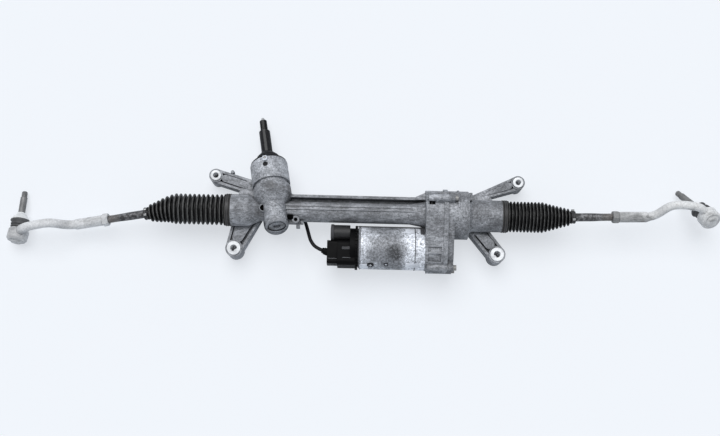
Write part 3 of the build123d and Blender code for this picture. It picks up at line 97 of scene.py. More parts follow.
def joint_axis(joint_name):
    return Vector(JOINTS[joint_name]["axis"]).normalized()


def frame_along(origin, along, level=(0, 0, 1)):
    """A matrix whose X runs along a direction and whose Z is as near to level as it can be."""
    x = Vector(along).normalized()
    z = Vector(level)
    z = (z - x * z.dot(x)).normalized()
    y = z.cross(x)
    return Matrix.Translation(origin) @ Matrix((x, y, z)).transposed().to_4x4()


def column_place():
    """X up the steering column from the middle of the pinion."""
    return frame_along(ball_place("pinion_turn"), joint_axis("pinion_turn"))


def rod_place(side):
    """X out along the tie rod from its inner ball."""
    return frame_along(ball_place(f"{side}_rod_roll"), joint_axis(f"{side}_rod_roll"))


def stud_place(side):
    """X along the stud from the outer ball."""
    return frame_along(ball_place(f"{side}_stud_spin"), joint_axis(f"{side}_stud_spin"), (1, 0, 0))


def head_place(side):
    """X along the head's own axis from the outer ball, where the tilt is in mid range."""
    tilt = JOINTS[f"{side}_stud_tilt"]
    middle = math.radians(sum(tilt["range_deg"]) / 2)
    back = Matrix.Rotation(middle, 3, joint_axis(f"{side}_stud_tilt"))
    axis = back @ joint_axis(f"{side}_stud_spin")
    return frame_along(ball_place(f"{side}_stud_spin"), axis, (1, 0, 0))


def eased(share):
    """A share held between 0 and 1, with a gentle start and end."""
    share = min(max(share, 0.0), 1.0)
    return share * share * (3 - 2 * share)


# ---------------------------------------------------------------- selection and drawing
def clear_selection():
    if bpy.context.object and bpy.context.object.mode != "OBJECT":
        bpy.ops.object.mode_set(mode="OBJECT")
    bpy.ops.object.select_all(action="DESELECT")


def pick(piece):
    """Make one piece the selected and active object."""
    clear_selection()
    piece.select_set(True)
    bpy.context.view_layer.objects.active = piece


def select_faces(piece, wanted):
    """In edit mode, select the faces whose centre and normal pass the test."""
    bpy.ops.object.mode_set(mode="OBJECT")
    for part in (piece.data.vertices, piece.data.edges, piece.data.polygons):
        part.foreach_set("select", [False] * len(part))
    for face in piece.data.polygons:
        face.select = wanted(face.center, face.normal)
    bpy.ops.object.mode_set(mode="EDIT")
    bpy.ops.mesh.select_mode(type="FACE")


def apply_modifiers(piece):
    pick(piece)
    for modifier in list(piece.modifiers):
        bpy.ops.object.modifier_apply(modifier=modifier.name)


def add_modifier(piece, name, kind, **settings):
    modifier = piece.modifiers.new(name, kind)
    for key, value in settings.items():
        setattr(modifier, key, value)


def smooth(piece, degrees):
    pick(piece)
    bpy.ops.object.shade_smooth_by_angle(angle=math.radians(degrees))


def settle(piece, place):
    """Carry a piece drawn about the origin, along X, to its place, and apply it to the mesh."""
    pick(piece)
    piece.data.transform(place)
    piece.data.update()


def outward(piece):
    pick(piece)
    bpy.ops.object.mode_set(mode="EDIT")
    bpy.ops.mesh.select_all(action="SELECT")
    bpy.ops.mesh.remove_doubles(threshold=1e-6)
    bpy.ops.mesh.normals_make_consistent(inside=False)
    bpy.ops.object.mode_set(mode="OBJECT")


def give_wall(piece, thickness, degrees=50):
    """Turn a skin into a wall whose thickness lies inwards."""
    outward(piece)
    add_modifier(piece, "wall", "SOLIDIFY", thickness=thickness, offset=-1)
    apply_modifiers(piece)
    smooth(piece, degrees)


def round_rims(piece, width, segments):
    """Apply what the piece carries, with its sharp edges rounded."""
    add_modifier(
        piece, "rims", "BEVEL", width=width, segments=segments, limit_method="ANGLE", angle_limit=SHARP
    )
    apply_modifiers(piece)
    outward(piece)


def draw_tube(name, profile, sides=64, closed=False):
    """A skin round the X axis, pulled ring by ring through (along, radius) points."""
    clear_selection()
    along, radius = profile[0]
    bpy.ops.mesh.primitive_circle_add(
        vertices=sides, radius=radius, location=(along, 0, 0), rotation=(0, math.pi / 2, 0),
        fill_type="NGON" if closed else "NOTHING",
    )
    piece = bpy.context.object
    piece.name = name
    bpy.ops.object.transform_apply(location=True, rotation=True, scale=False)
    bpy.ops.object.mode_set(mode="EDIT")
    bpy.ops.mesh.select_mode(type="EDGE")
    bpy.ops.mesh.select_all(action="SELECT")
    for next_along, next_radius in profile[1:]:
        bpy.ops.mesh.extrude_edges_move(
            TRANSFORM_OT_translate={"value": (next_along - along, 0, 0)}
        )
        scale = next_radius / radius
        bpy.ops.transform.resize(value=(1, scale, scale), center_override=(next_along, 0, 0))
        along, radius = next_along, next_radius
    if closed:
        bpy.ops.mesh.edge_face_add()
    bpy.ops.object.mode_set(mode="OBJECT")
    return piece


def draw_line(name, points):
    """A chain of edges through points, drawn out from one corner of a plane."""
    clear_selection()
    bpy.ops.mesh.primitive_plane_add(size=0.001)
    piece = bpy.context.object
    piece.name = name
    bpy.ops.object.mode_set(mode="EDIT")
    bpy.ops.mesh.select_mode(type="VERT")
    bpy.ops.mesh.select_all(action="DESELECT")
    bpy.ops.object.mode_set(mode="OBJECT")
    for vertex in piece.data.vertices:
        vertex.select = vertex.index > 0
    bpy.ops.object.mode_set(mode="EDIT")
    bpy.ops.mesh.delete(type="VERT")
    bpy.ops.mesh.select_all(action="SELECT")
    bpy.ops.object.mode_set(mode="OBJECT")
    start = piece.data.vertices[0].co.copy()
    bpy.ops.object.mode_set(mode="EDIT")
    bpy.ops.transform.translate(value=Vector(points[0]) - start)
    for before, here in zip(points, points[1:]):
        step = Vector(here) - Vector(before)
        bpy.ops.mesh.extrude_vertices_move(TRANSFORM_OT_translate={"value": step})
    bpy.ops.object.mode_set(mode="OBJECT")
    return piece


def draw_thread(name, start, end, root, crest, pitch):
    """A screw thread round the X axis: one tooth's outline, wound along the shaft."""
    points = [
        (start, 0, root - 0.0003), (start + pitch * 0.08, 0, root), (start + pitch * 0.44, 0, crest),
        (start + pitch * 0.60, 0, crest), (start + pitch * 0.96, 0, root),
        (start + pitch, 0, root - 0.0003),
    ]
    piece = draw_line(name, points)
    add_modifier(
        piece, "winding", "SCREW", axis="X", angle=math.tau, screw_offset=pitch,
        iterations=max(1, int((end - start) / pitch)), steps=32, render_steps=32,
        use_merge_vertices=True,
    )
    apply_modifiers(piece)
    smooth(piece, 50)
    return piece


def draw_block(name, centre, size, edge, segments=2):
    """A block with rounded edges."""
    clear_selection()
    bpy.ops.mesh.primitive_cube_add(size=1, location=centre, scale=size)
    piece = bpy.context.object
    piece.name = name
    bpy.ops.object.transform_apply(location=True, rotation=False, scale=True)
    bpy.ops.object.mode_set(mode="EDIT")
    bpy.ops.mesh.select_all(action="SELECT")
    bpy.ops.mesh.bevel(offset=edge, segments=segments, profile=0.5)
    bpy.ops.object.mode_set(mode="OBJECT")
    smooth(piece, 40)
    return piece


def draw_disc(name, start, end, radius, edge, sides):
    """A disc about the X axis with rounded rims."""
    profile = [
        (start, radius - edge), (start + edge * 0.3, radius - edge * 0.3), (start + edge, radius),
        (end - edge, radius), (end - edge * 0.3, radius - edge * 0.3), (end, radius - edge),
    ]
    piece = draw_tube(name, profile, sides, closed=True)
    outward(piece)
    smooth(piece, 50)
    return piece


def draw_collar(name, start, end, inner, outer, edge, sides=64):
    """A ring about the X axis with rounded outer rims."""
    profile = [
        (start, inner), (start, outer - edge), (start + edge, outer), (end - edge, outer),
        (end, outer - edge), (end, inner), (start, inner),
    ]
    piece = draw_tube(name, profile, sides)
    outward(piece)
    smooth(piece, 50)
    return piece


def draw_patch(name, span, radius, turns, thick, steps=12):
    """A curved pad on a cylinder about the X axis, between two turns in degrees towards +Y."""
    piece = draw_line(name, [(span[0], 0, radius), (span[1], 0, radius)])
    sweep = math.radians(turns[0] - turns[1])
    add_modifier(piece, "sweep", "SCREW", axis="X", angle=sweep, steps=steps, render_steps=steps)
    apply_modifiers(piece)
    outward(piece)
    add_modifier(piece, "thick", "SOLIDIFY", thickness=thick, offset=0)
    round_rims(piece, thick * 0.3, 2)
    smooth(piece, 50)
    piece.data.transform(Matrix.Rotation(math.radians(-turns[0]), 4, "X"))
    return piece


def draw_web(name, discs, foot):
    """A cast web over discs (x, y, radius, top) in millimetres, from the rack's axis."""
    clear_selection()
    for index, (x, y, radius, top) in enumerate(discs):
        bpy.ops.mesh.primitive_cylinder_add(
            vertices=40, radius=radius * MM, depth=(top - foot) * MM,
            location=at_rack(x, y, (top + foot) / 2),
        )
        if index == 0:
            piece = bpy.context.object
            piece.name = name
            bpy.ops.object.transform_apply(location=True, rotation=True, scale=True)
            bpy.ops.object.mode_set(mode="EDIT")
    bpy.ops.mesh.select_all(action="SELECT")
    bpy.ops.mesh.convex_hull()
    bpy.ops.object.mode_set(mode="OBJECT")
    round_rims(piece, 0.0012, 3)
    smooth(piece, 40)
    return piece


def fit(piece, finish, body="housing", place=None):
    """Put a finished piece in its place, and give it its finish, slot and carrying body."""
    if place is not None:
        settle(piece, place)
    piece.data.materials.clear()
    piece.data.materials.append(bpy.data.materials[finish])
    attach(piece, body)


# ---------------------------------------------------------------- node materials
def opaque(value):
    """A grey or a colour, with full alpha."""
    channels = (value,) * 3 if isinstance(value, (int, float)) else tuple(value)
    return (*channels, 1)


class Finish:
    """A procedural material under construction, with short names for the nodes it needs."""

    def __init__(self, name, metallic=0.0, roughness=0.5, specular=0.5):
        self.material = bpy.data.materials.new(name)
        self.material.use_nodes = True
        self.tree = self.material.node_tree
        self.shader = self.tree.nodes["Principled BSDF"]
        self.shader.inputs["Metallic"].default_value = metallic
        self.shader.inputs["Roughness"].default_value = roughness
        self.shader.inputs["Specular IOR Level"].default_value = specular
        self.place = self.tree.nodes.new("ShaderNodeTexCoord").outputs["Object"]

    def link(self, output, socket):
        self.tree.links.new(output, socket)

    def stretched(self, scale):
        mapping = self.tree.nodes.new("ShaderNodeMapping")
        mapping.inputs["Scale"].default_value = scale
        self.link(self.place, mapping.inputs["Vector"])
        return mapping.outputs["Vector"]

    def noise(self, scale, detail=4.0, roughness=0.55, distortion=0.0, vector=None):
        node = self.tree.nodes.new("ShaderNodeTexNoise")
        node.inputs["Scale"].default_value = scale
        node.inputs["Detail"].default_value = detail
        node.inputs["Roughness"].default_value = roughness
        node.inputs["Distortion"].default_value = distortion
        self.link(vector or self.place, node.inputs["Vector"])
        return node.outputs["Fac"]

    def cells(self, scale):
        node = self.tree.nodes.new("ShaderNodeTexVoronoi")
        node.inputs["Scale"].default_value = scale
        self.link(self.place, node.inputs["Vector"])
        return node.outputs["Distance"]

    def ramp(self, value, *stops):
        """Colours or greys at positions along a value: (position, colour) pairs."""
        node = self.tree.nodes.new("ShaderNodeValToRGB")
        ramp = node.color_ramp
        while len(ramp.elements) < len(stops):
            ramp.elements.new(0.5)
        for element, (position, colour) in zip(ramp.elements, stops):
            element.position = position
            element.color = opaque(colour)
        self.link(value, node.inputs["Fac"])
        return node.outputs["Color"]

    def feed(self, value, socket):
        """Give a socket an output, a number or a colour."""
        if isinstance(value, bpy.types.NodeSocket):
            self.link(value, socket)
        elif socket.type == "VALUE":
            socket.default_value = value
        else:
            socket.default_value = opaque(value)

    def mix(self, factor, first, second, blend="MIX"):
        """Mix two colours, each an output or a plain colour."""
        node = self.tree.nodes.new("ShaderNodeMix")
        node.data_type = "RGBA"
        node.blend_type = blend
        colours = [socket for socket in node.inputs if socket.type == "RGBA"]
        self.feed(factor, node.inputs[0])
        self.feed(first, colours[0])
        self.feed(second, colours[1])
        return next(socket for socket in node.outputs if socket.type == "RGBA")

    def corners(self, reach):
        """0 in tight corners and 1 on open surfaces."""
        node = self.tree.nodes.new("ShaderNodeAmbientOcclusion")
        node.samples = 6
        node.inputs["Distance"].default_value = reach
        return node.outputs["AO"]

    def rounded(self, radius):
        node = self.tree.nodes.new("ShaderNodeBevel")
        node.samples = 4
        node.inputs["Radius"].default_value = radius
        return node.outputs["Normal"]

    def edges(self, radius):
        """1 on sharp edges and 0 on flats, from how far a rounded normal leaves the real one."""
        geometry = self.tree.nodes.new("ShaderNodeNewGeometry")
        dot = self.tree.nodes.new("ShaderNodeVectorMath")
        dot.operation = "DOT_PRODUCT"
        self.link(self.rounded(radius), dot.inputs[0])
        self.link(geometry.outputs["Normal"], dot.inputs[1])
        return self.ramp(dot.outputs["Value"], (0.90, 1.0), (0.985, 0.0))

    def weighed(self, value, factor, offset=0.0):
        """A value times a factor, plus an offset."""
        node = self.tree.nodes.new("ShaderNodeMath")
        node.operation = "MULTIPLY_ADD"
        for socket, given in zip(node.inputs, (value, factor, offset)):
            self.feed(given, socket)
        return node.outputs[0]

    def measure(self, origin, direction, span):
        """How far along a direction a place is from a point, as a share of a span."""
        node = self.tree.nodes.new("ShaderNodeVectorMath")
        node.operation = "DOT_PRODUCT"
        self.link(self.place, node.inputs[0])
        node.inputs[1].default_value = Vector(direction) / span
        return self.weighed(node.outputs["Value"], 1.0, -Vector(origin).dot(Vector(direction)) / span)

    def spot(self, centre, radius, ragged=0.5):
        """1 inside a ragged patch round a point and 0 outside it."""
        soft = 0.16
        node = self.tree.nodes.new("ShaderNodeVectorMath")
        node.operation = "DISTANCE"
        self.link(self.place, node.inputs[0])
        node.inputs[1].default_value = centre
        reach = self.weighed(node.outputs["Value"], 0.5 / radius)
        reach = self.weighed(self.noise(1.6 / radius, 7, 0.7), ragged, reach)
        rim = 0.5 + 0.5 * ragged
        return self.ramp(reach, (rim - soft, 1.0), (rim + soft, 0.0))

    def patch(self, centre, radius, strength, ragged=0.5):
        """A weighed spot, given in millimetres from the rack's axis."""
        return self.weighed(self.spot(at_rack(*centre), radius * MM, ragged), strength)

    def bump(self, height, distance, strength, normal=None):
        node = self.tree.nodes.new("ShaderNodeBump")
        node.inputs["Distance"].default_value = distance
        node.inputs["Strength"].default_value = strength
        self.link(height, node.inputs["Height"])
        if normal is not None:
            self.link(normal, node.inputs["Normal"])
        return node.outputs["Normal"]

    def finish(self, colour, roughness, normal):
        for name, value in (("Base Color", colour), ("Roughness", roughness), ("Normal", normal)):
            if value is not None:
                self.link(value, self.shader.inputs[name])
        return self.material


def shade(colour, factor):
    """A colour made darker or lighter by a factor."""
    return tuple(min(1.0, channel * factor) for channel in colour)


def cast_alloy(name, colour, seed=0.0, corner_dirt_and_shade_depth=0.45, streak=(1, 1, 1), stains=()):
    """Die-cast aluminium: mottled oxide skin, dark pits, dirt and painted shade in its corners, rubbed
    edges.
    """
    grit = 0.6
    finish = Finish(name, metallic=0.15, specular=0.4)
    place = finish.stretched(streak)
    cloud = finish.noise(26 + seed, 6, 0.62, 0.4, place)
    skin = finish.ramp(
        cloud, (0.34, shade(colour, 0.66)), (0.47, shade(colour, 0.92)), (0.56, shade(colour, 1.12)),
        (0.68, shade(colour, 1.5)),
    )
    mottle = finish.noise(190 + 7 * seed, 6, 0.78, 0.5, place)
    speckle = finish.ramp(mottle, (0.40, 0.40), (0.5, 0.95), (0.60, 1.75))
    skin = finish.mix(grit, skin, speckle, "MULTIPLY")
    flecks = finish.ramp(finish.noise(330 + seed, 4, 0.7), (0.40, 0.6), (0.5, 1.0), (0.60, 1.35))
    skin = finish.mix(grit, skin, flecks, "MULTIPLY")
    pits = finish.ramp(finish.noise(150 + seed, 8, 0.82, 0.3), (0.57, 0.0), (0.62, 0.9))
    skin = finish.mix(pits, skin, shade(colour, 0.22))
    for centre, radius, strength in stains:
        stain = finish.patch(centre, radius, strength)
        skin = finish.mix(stain, skin, (0.045, 0.042, 0.040))
    corners = finish.corners(0.013)
    open_edge = finish.ramp(corners, (0.6, 0.0), (0.9, 0.8))
    rubbed = finish.mix(1.0, finish.edges(0.0012), open_edge, "MULTIPLY")
    skin = finish.mix(rubbed, skin, shade(colour, 2.0))
    # painted shade and dirt: tight corners, found by occlusion, are darkened towards a near-black copy of
    # the colour, by the given depth
    corner_dirt_and_shade = finish.ramp(corners, (0.30, 1.0), (0.80, 0.0))
    skin = finish.mix(corner_dirt_and_shade, skin, finish.mix(corner_dirt_and_shade_depth, skin, shade(colour, 0.12)))
    gloss = finish.ramp(cloud, (0.3, 0.66), (0.7, 0.46))
    height = finish.mix(0.5, finish.noise(320, 5, 0.7), mottle)
    normal = finish.bump(height, 0.0010, 0.7, finish.rounded(0.0014))
    return finish.finish(skin, gloss, normal)


# grey patches of the can: centre from the rack's axis and radius in millimetres, strength
CAN_PATCHES = (
    ((38, -60, 32), 19, 0.9), ((22, -84, 28), 16, 0.8), ((50, -96, 20), 20, 0.9), ((66, -72, 32), 15, 0.6),
)


def weathered_can(name, colour):
    """A zinc-plated steel can: bright ends, grey bloom along its middle, a dark pitted stain, and dirt and
    painted shade in its corners.
    """
    finish = Finish(name, metallic=0.2)
    bloom = finish.noise(34, 8, 0.75, 0.3)
    skin = finish.ramp(
        bloom, (0.38, shade(colour, 0.42)), (0.48, shade(colour, 0.70)), (0.56, shade(colour, 1.1)),
        (0.64, shade(colour, 1.8)),
    )
    ragged = finish.noise(60, 8, 0.8)
    along = finish.weighed(ragged, 0.16, finish.measure(at_rack(-24, 0, 0), (1, 0, 0), 150 * MM))
    ends = finish.ramp(along, (0.16, 0.95), (0.33, 0.0), (0.69, 0.0), (0.78, 0.9))
    skin = finish.mix(ends, skin, shade(colour, 1.85))
    for centre, radius, strength in CAN_PATCHES:
        grey = finish.patch(centre, radius, strength, 0.6)
        skin = finish.mix(grey, skin, shade(colour, 0.52))
    crust = finish.ramp(finish.noise(240, 7, 0.85, 0.4), (0.42, 0.35), (0.51, 1.0), (0.60, 1.6))
    skin = finish.mix(0.9, skin, crust, "MULTIPLY")
    stain = finish.spot(at_rack(55, -80, 30), 18 * MM, 0.9)
    pits = finish.ramp(finish.noise(210, 8, 0.85, 0.6), (0.44, 0.3), (0.50, 1.0))
    skin = finish.mix(finish.mix(1.0, pits, stain, "MULTIPLY"), skin, shade(colour, 0.09))
    specks = finish.ramp(finish.noise(170, 8, 0.85, 0.6), (0.575, 0.0), (0.61, 0.9))
    skin = finish.mix(specks, skin, shade(colour, 0.2))
    # painted shade and dirt: the can's corners, found by occlusion, are darkened
    corner_dirt_and_shade = finish.ramp(finish.corners(0.010), (0.35, 0.9), (0.85, 0.0))
    skin = finish.mix(corner_dirt_and_shade, skin, shade(colour, 0.2))
    gloss = finish.ramp(bloom, (0.35, 0.62), (0.62, 0.40))
    height = finish.mix(0.4, finish.noise(300, 6, 0.7), pits)
    normal = finish.bump(height, 0.0005, 0.5, finish.rounded(0.0010))
    return finish.finish(skin, gloss, normal)


def bare_metal(name, colour, roughness=0.3, metallic=0.85, corner_dirt_and_shade_share=0.8):
    """Machined or plated metal with fine tool lines, finger-dulled patches, and dirt and painted shade in
    its corners.
    """
    finish = Finish(name, metallic=metallic)
    lines = finish.noise(900, 3, 0.6)
    cloud = finish.noise(60, 5, 0.6)
    skin = finish.ramp(cloud, (0.32, shade(colour, 0.70)), (0.55, colour), (0.75, shade(colour, 1.12)))
    skin = finish.mix(0.6, skin, finish.ramp(lines, (0.3, 0.78), (0.7, 1.1)), "MULTIPLY")
    # painted shade and dirt: corners, found by occlusion, are darkened by the given share
    corner_dirt_and_shade = finish.ramp(finish.corners(0.005), (0.35, corner_dirt_and_shade_share), (0.8, 0.0))
    skin = finish.mix(corner_dirt_and_shade, skin, shade(colour, 0.25))
    gloss = finish.ramp(cloud, (0.35, roughness + 0.16), (0.65, roughness))
    normal = finish.bump(lines, 0.00015, 0.4, finish.rounded(0.0006))
    return finish.finish(skin, gloss, normal)


def forged_skin(name, colour, scuffs=()):
    """Shot-blasted forging with a pale oxide bloom, fine grit, scraped dark scale, and dirt and painted
    shade in its corners.
    """
    finish = Finish(name, metallic=0.08, specular=0.35)
    bloom = finish.noise(22, 4, 0.5, 0.3, finish.stretched((0.4, 1, 1)))
    skin = finish.ramp(bloom, (0.34, shade(colour, 0.72)), (0.5, colour), (0.62, shade(colour, 1.12)))
    grit = finish.ramp(finish.noise(260, 6, 0.8), (0.38, 0.74), (0.5, 1.0), (0.62, 1.2))
    skin = finish.mix(0.8, skin, grit, "MULTIPLY")
    scale = finish.ramp(finish.noise(120, 7, 0.75), (0.60, 0.0), (0.70, 0.6))
    skin = finish.mix(scale, skin, shade(colour, 0.35))
    lines = finish.noise(150, 8, 0.85, vector=finish.stretched((0.35, 1, 1)))
    scrape = finish.ramp(lines, (0.46, 0.0), (0.56, 1.0))
    for centre, radius, strength in scuffs:
        patch = finish.patch(centre, radius, strength, 0.4)
        skin = finish.mix(finish.mix(1.0, scrape, patch, "MULTIPLY"), skin, shade(colour, 0.16))
        skin = finish.mix(finish.weighed(patch, 0.45), skin, shade(colour, 0.5))
    rust = finish.ramp(finish.noise(75, 5, 0.6, 0.5), (0.64, 0.0), (0.74, 0.4))
    skin = finish.mix(rust, skin, (0.16, 0.11, 0.075))
    # painted shade and dirt: corners, found by occlusion, are darkened
    corner_dirt_and_shade = finish.ramp(finish.corners(0.010), (0.3, 0.85), (0.8, 0.0))
    skin = finish.mix(corner_dirt_and_shade, skin, shade(colour, 0.2))
    height = finish.mix(0.5, finish.noise(420, 5, 0.7), scale)
    normal = finish.bump(height, 0.0006, 0.7, finish.rounded(0.0015))
    return finish.finish(skin, finish.ramp(bloom, (0.3, 0.72), (0.7, 0.5)), normal)


def phosphated_rod(name, colour):
    """Dark phosphated steel, scuffed grey along its length, with a little surface rust."""
    finish = Finish(name, metallic=0.35)
    cloud = finish.noise(120, 7, 0.7, 0.3)
    skin = finish.ramp(cloud, (0.40, shade(colour, 0.30)), (0.50, colour), (0.60, shade(colour, 2.6)))
    patch = finish.ramp(finish.noise(160, 6, 0.75), (0.56, 0.0), (0.64, 0.6))
    skin = finish.mix(patch, skin, (0.075, 0.058, 0.048))
    height = finish.noise(600, 4, 0.7)
    normal = finish.bump(height, 0.0005, 0.6, finish.rounded(0.0006))
    return finish.finish(skin, finish.ramp(cloud, (0.3, 0.60), (0.7, 0.42)), normal)


def blackened_shaft(name, colour, worn):
    """Blackened steel with a pale stripe along the shaft painted as its highlight, and pale worn specks.
    """
    finish = Finish(name, metallic=0.15, specular=0.15)
    across = Vector((0.985, 0.163, -0.059))  # level, and square to the shaft
    radius = 11 * MM
    start = ball_place("pinion_turn") - across * radius
    # painted highlight: a pale stripe over a fixed band across the shaft's width, in the colour given as
    # worn
    painted_highlight_stripe = finish.measure(start, across, 2 * radius)
    painted_highlight_stripe = finish.weighed(finish.noise(180, 5, 0.7), 0.12, painted_highlight_stripe)
    painted_highlight_stripe = finish.ramp(painted_highlight_stripe, (0.36, 0.0), (0.42, 1.0), (0.60, 1.0), (0.66, 0.0))
    # the worn colour is the grey of the painted highlight and of the worn specks
    skin = finish.mix(painted_highlight_stripe, colour, worn)
    speck = finish.ramp(finish.noise(240, 6, 0.8), (0.56, 0.0), (0.66, 0.6))
    skin = finish.mix(speck, skin, worn)
    normal = finish.bump(finish.noise(500, 4, 0.7), 0.0003, 0.5, finish.rounded(0.0006))
    return finish.finish(skin, finish.ramp(finish.noise(60), (0.3, 0.55), (0.7, 0.38)), normal)


def rubber_skin(finish, skin, cloud, gloss):
    """Finish a rubber with a cloudy gloss between two values and a fine grain."""
    rough = finish.ramp(cloud, (0.3, gloss[0]), (0.7, gloss[1]))
    normal = finish.bump(finish.noise(800, 4, 0.6), 0.0002, 0.45)
    return finish.finish(skin, rough, normal)


def dull_rubber(name, colour, dust=(0.20, 0.20, 0.20), amount=0.2, gloss=(0.40, 0.55)):
    """Moulded rubber, a little shinier where it is handled, with a dry grey bloom in specks."""
    finish = Finish(name, specular=0.12)
    cloud = finish.noise(45, 5, 0.6)
    skin = finish.ramp(cloud, (0.35, shade(colour, 0.7)), (0.65, shade(colour, 1.4)))
    speck = finish.ramp(finish.noise(320, 5, 0.75), (0.54, 0.0), (0.78, amount))
    return rubber_skin(finish, finish.mix(speck, skin, dust), cloud, gloss)


def folded_rubber(name, colour, crest):
    """Bellows rubber: black valleys, and crests painted grey as their highlights where the folds stand
    open.
    """
    finish = Finish(name, specular=0.16)
    # painted highlight: the open places, found by occlusion, are the crests, and they are lightened
    # towards a mottled copy of the crest colour
    crest_highlight = finish.ramp(finish.noise(70, 6, 0.7), (0.35, shade(crest, 0.4)), (0.65, shade(crest, 1.5)))
    high = finish.ramp(finish.corners(0.0055), (0.86, 0.0), (0.99, 1.0))
    skin = finish.mix(high, colour, crest_highlight)
    speck = finish.ramp(finish.noise(340, 5, 0.75), (0.60, 0.0), (0.78, 0.25))
    skin = finish.mix(speck, skin, (0.16, 0.16, 0.16))
    return rubber_skin(finish, skin, finish.noise(45, 5, 0.6), (0.34, 0.52))


def moulded_plastic(name, colour, roughness=0.45, specular=0.06):
    """Spark-eroded moulded plastic with its edges painted lighter as highlights, and a little dust."""
    finish = Finish(name, specular=specular)
    cloud = finish.noise(38, 5, 0.6)
    skin = finish.ramp(cloud, (0.35, shade(colour, 0.75)), (0.65, shade(colour, 1.3)))
    speck = finish.ramp(finish.noise(260, 6, 0.8), (0.62, 0.0), (0.85, 0.10))
    skin = finish.mix(speck, skin, (0.16, 0.16, 0.17))
    # painted highlight: sharp edges are lightened towards a brighter copy of the colour
    skin = finish.mix(finish.mix(0.7, 0.0, finish.edges(0.0006)), skin, shade(colour, 6))
    gloss = finish.ramp(cloud, (0.3, roughness - 0.08), (0.7, roughness + 0.1))
    normal = finish.bump(finish.cells(1500), 0.00012, 0.35, finish.rounded(0.0008))
    return finish.finish(skin, gloss, normal)


def stacked_sheet(name, colour):
    """Stator laminations with their edges showing as fine lines across X."""
    finish = Finish(name, metallic=0.7, roughness=0.4)
    lines = finish.noise(300, 2, 0.5, vector=finish.stretched((9, 0.05, 0.05)))
    skin = finish.ramp(lines, (0.35, shade(colour, 0.6)), (0.65, shade(colour, 1.25)))
    spots = finish.ramp(finish.noise(90, 5, 0.6), (0.55, 0.0), (0.75, 0.5))
    skin = finish.mix(spots, skin, (0.16, 0.09, 0.05))
    normal = finish.bump(lines, 0.0002, 0.6)
    return finish.finish(skin, None, normal)


# ---------------------------------------------------------------- settings
class StageSettings(PropertyGroup):
    floor: FloatVectorProperty(
        name="Floor", description="Colour of the floor and the surroundings",
        subtype="COLOR", size=3, min=0, max=1, default=(0.915, 0.945, 0.990),
    )
    floor_glow: FloatProperty(
        name="Floor glow", description="Share of the floor's own colour that the camera sees unshaded",
        subtype="FACTOR", min=0, max=1, default=0.64,
    )
    key_strength: FloatProperty(
        name="Key light", description="Strength of the broad light from above and behind",
        default=2.1,
    )
    fill_strength: FloatProperty(
        name="Fill", description="Strength of the light from all round",
        default=0.34,
    )
    height_angle: FloatProperty(
        name="Camera elevation", description="Camera angle above the floor",
        default=math.radians(80), subtype="ANGLE",
    )
    roll: FloatProperty(
        name="Camera roll", description="Turn of the camera about its view",
        default=math.radians(1.4), subtype="ANGLE",
    )
    distance: FloatProperty(
        name="Camera distance", description="Camera to the gear's middle",
        default=1.95, unit="LENGTH",
    )


class RubberSettings(PropertyGroup):
    crest: FloatProperty(
        name="Fold crest", description="Largest radius of a bellows fold",
        default=0.030, unit="LENGTH",
    )
    valley: FloatProperty(
        name="Fold valley", description="Smallest radius of a bellows fold",
        default=0.0245, unit="LENGTH",
    )
    left_folds: IntProperty(
        name="Left folds", description="Folds between the housing and the left inner ball",
        default=10,
    )
    right_folds: IntProperty(
        name="Right folds", description="Folds between the housing and the right inner ball",
        default=9,
    )
    all_folds: IntProperty(
        name="All folds", description="Folds in the whole of each bellows",
        default=17,
    )
    wall: FloatProperty(
        name="Wall", description="Thickness of the rubber",
        default=0.0018, unit="LENGTH",
    )
    colour: FloatVectorProperty(
        name="Rubber", description="Colour of the valleys of the bellows",
        subtype="COLOR", size=3, default=(0.0025, 0.0025, 0.0028),
    )
    # the crests' grey is a painted highlight
    crest_highlight_colour: FloatVectorProperty(
        name="Painted crest highlight", description="Colour of the crests of the bellows",
        subtype="COLOR", size=3, default=(0.095, 0.094, 0.092),
    )


class BootSettings(PropertyGroup):
    width: FloatProperty(
        name="Boot radius", description="Radius of the rings of a stud boot",
        default=0.0188, unit="LENGTH",
    )
    neck_radius: FloatProperty(
        name="Neck radius", description="Radius of the collar's mouth on the stud",
        default=0.0072, unit="LENGTH",
    )
    wall: FloatProperty(
        name="Boot wall", description="Thickness of a stud boot",
        default=0.0014, unit="LENGTH",
    )
    colour: FloatVectorProperty(
        name="Boot", description="Colour of the stud boots",
        subtype="COLOR", size=3, default=(0.10, 0.10, 0.103),
    )
    collar: FloatVectorProperty(
        name="Collar", description="Colour of the pale collars",
        subtype="COLOR", size=3, default=(0.86, 0.87, 0.88),
    )


class CableSettings(PropertyGroup):
    diameter: FloatProperty(
        name="Diameter", description="Outside diameter of the sensor cable",
        default=0.007, unit="LENGTH",
    )
    colour: FloatVectorProperty(
        name="Sheath", description="Colour of the cable's sheath",
        subtype="COLOR", size=3, default=(0.010, 0.010, 0.012),
    )


class FinishSettings(PropertyGroup):
    casting: FloatVectorProperty(
        name="Casting", description="Colour of the aluminium castings",
        subtype="COLOR", size=3, default=(0.255, 0.262, 0.28),
    )
    can: FloatVectorProperty(
        name="Motor can", description="Colour of the plated motor can",
        subtype="COLOR", size=3, default=(0.44, 0.455, 0.49),
    )
    bush: FloatVectorProperty(
        name="Bushes", description="Colour of the mounting bushes",
        subtype="COLOR", size=3, default=(0.93, 0.94, 0.96),
    )
    forging: FloatVectorProperty(
        name="Left rod end", description="Colour of the left forged rod end",
        subtype="COLOR", size=3, default=(0.70, 0.70, 0.71),
    )
    worn_forging: FloatVectorProperty(
        name="Right rod end", description="Colour of the right forged rod end",
        subtype="COLOR", size=3, default=(0.68, 0.68, 0.68),
    )
    rod: FloatVectorProperty(
        name="Tie rods", description="Colour of the tie rods",
        subtype="COLOR", size=3, default=(0.075, 0.075, 0.078),
    )
    plastic: FloatVectorProperty(
        name="Plastic", description="Colour of the control unit",
        subtype="COLOR", size=3, default=(0.0018, 0.0018, 0.0021),
    )


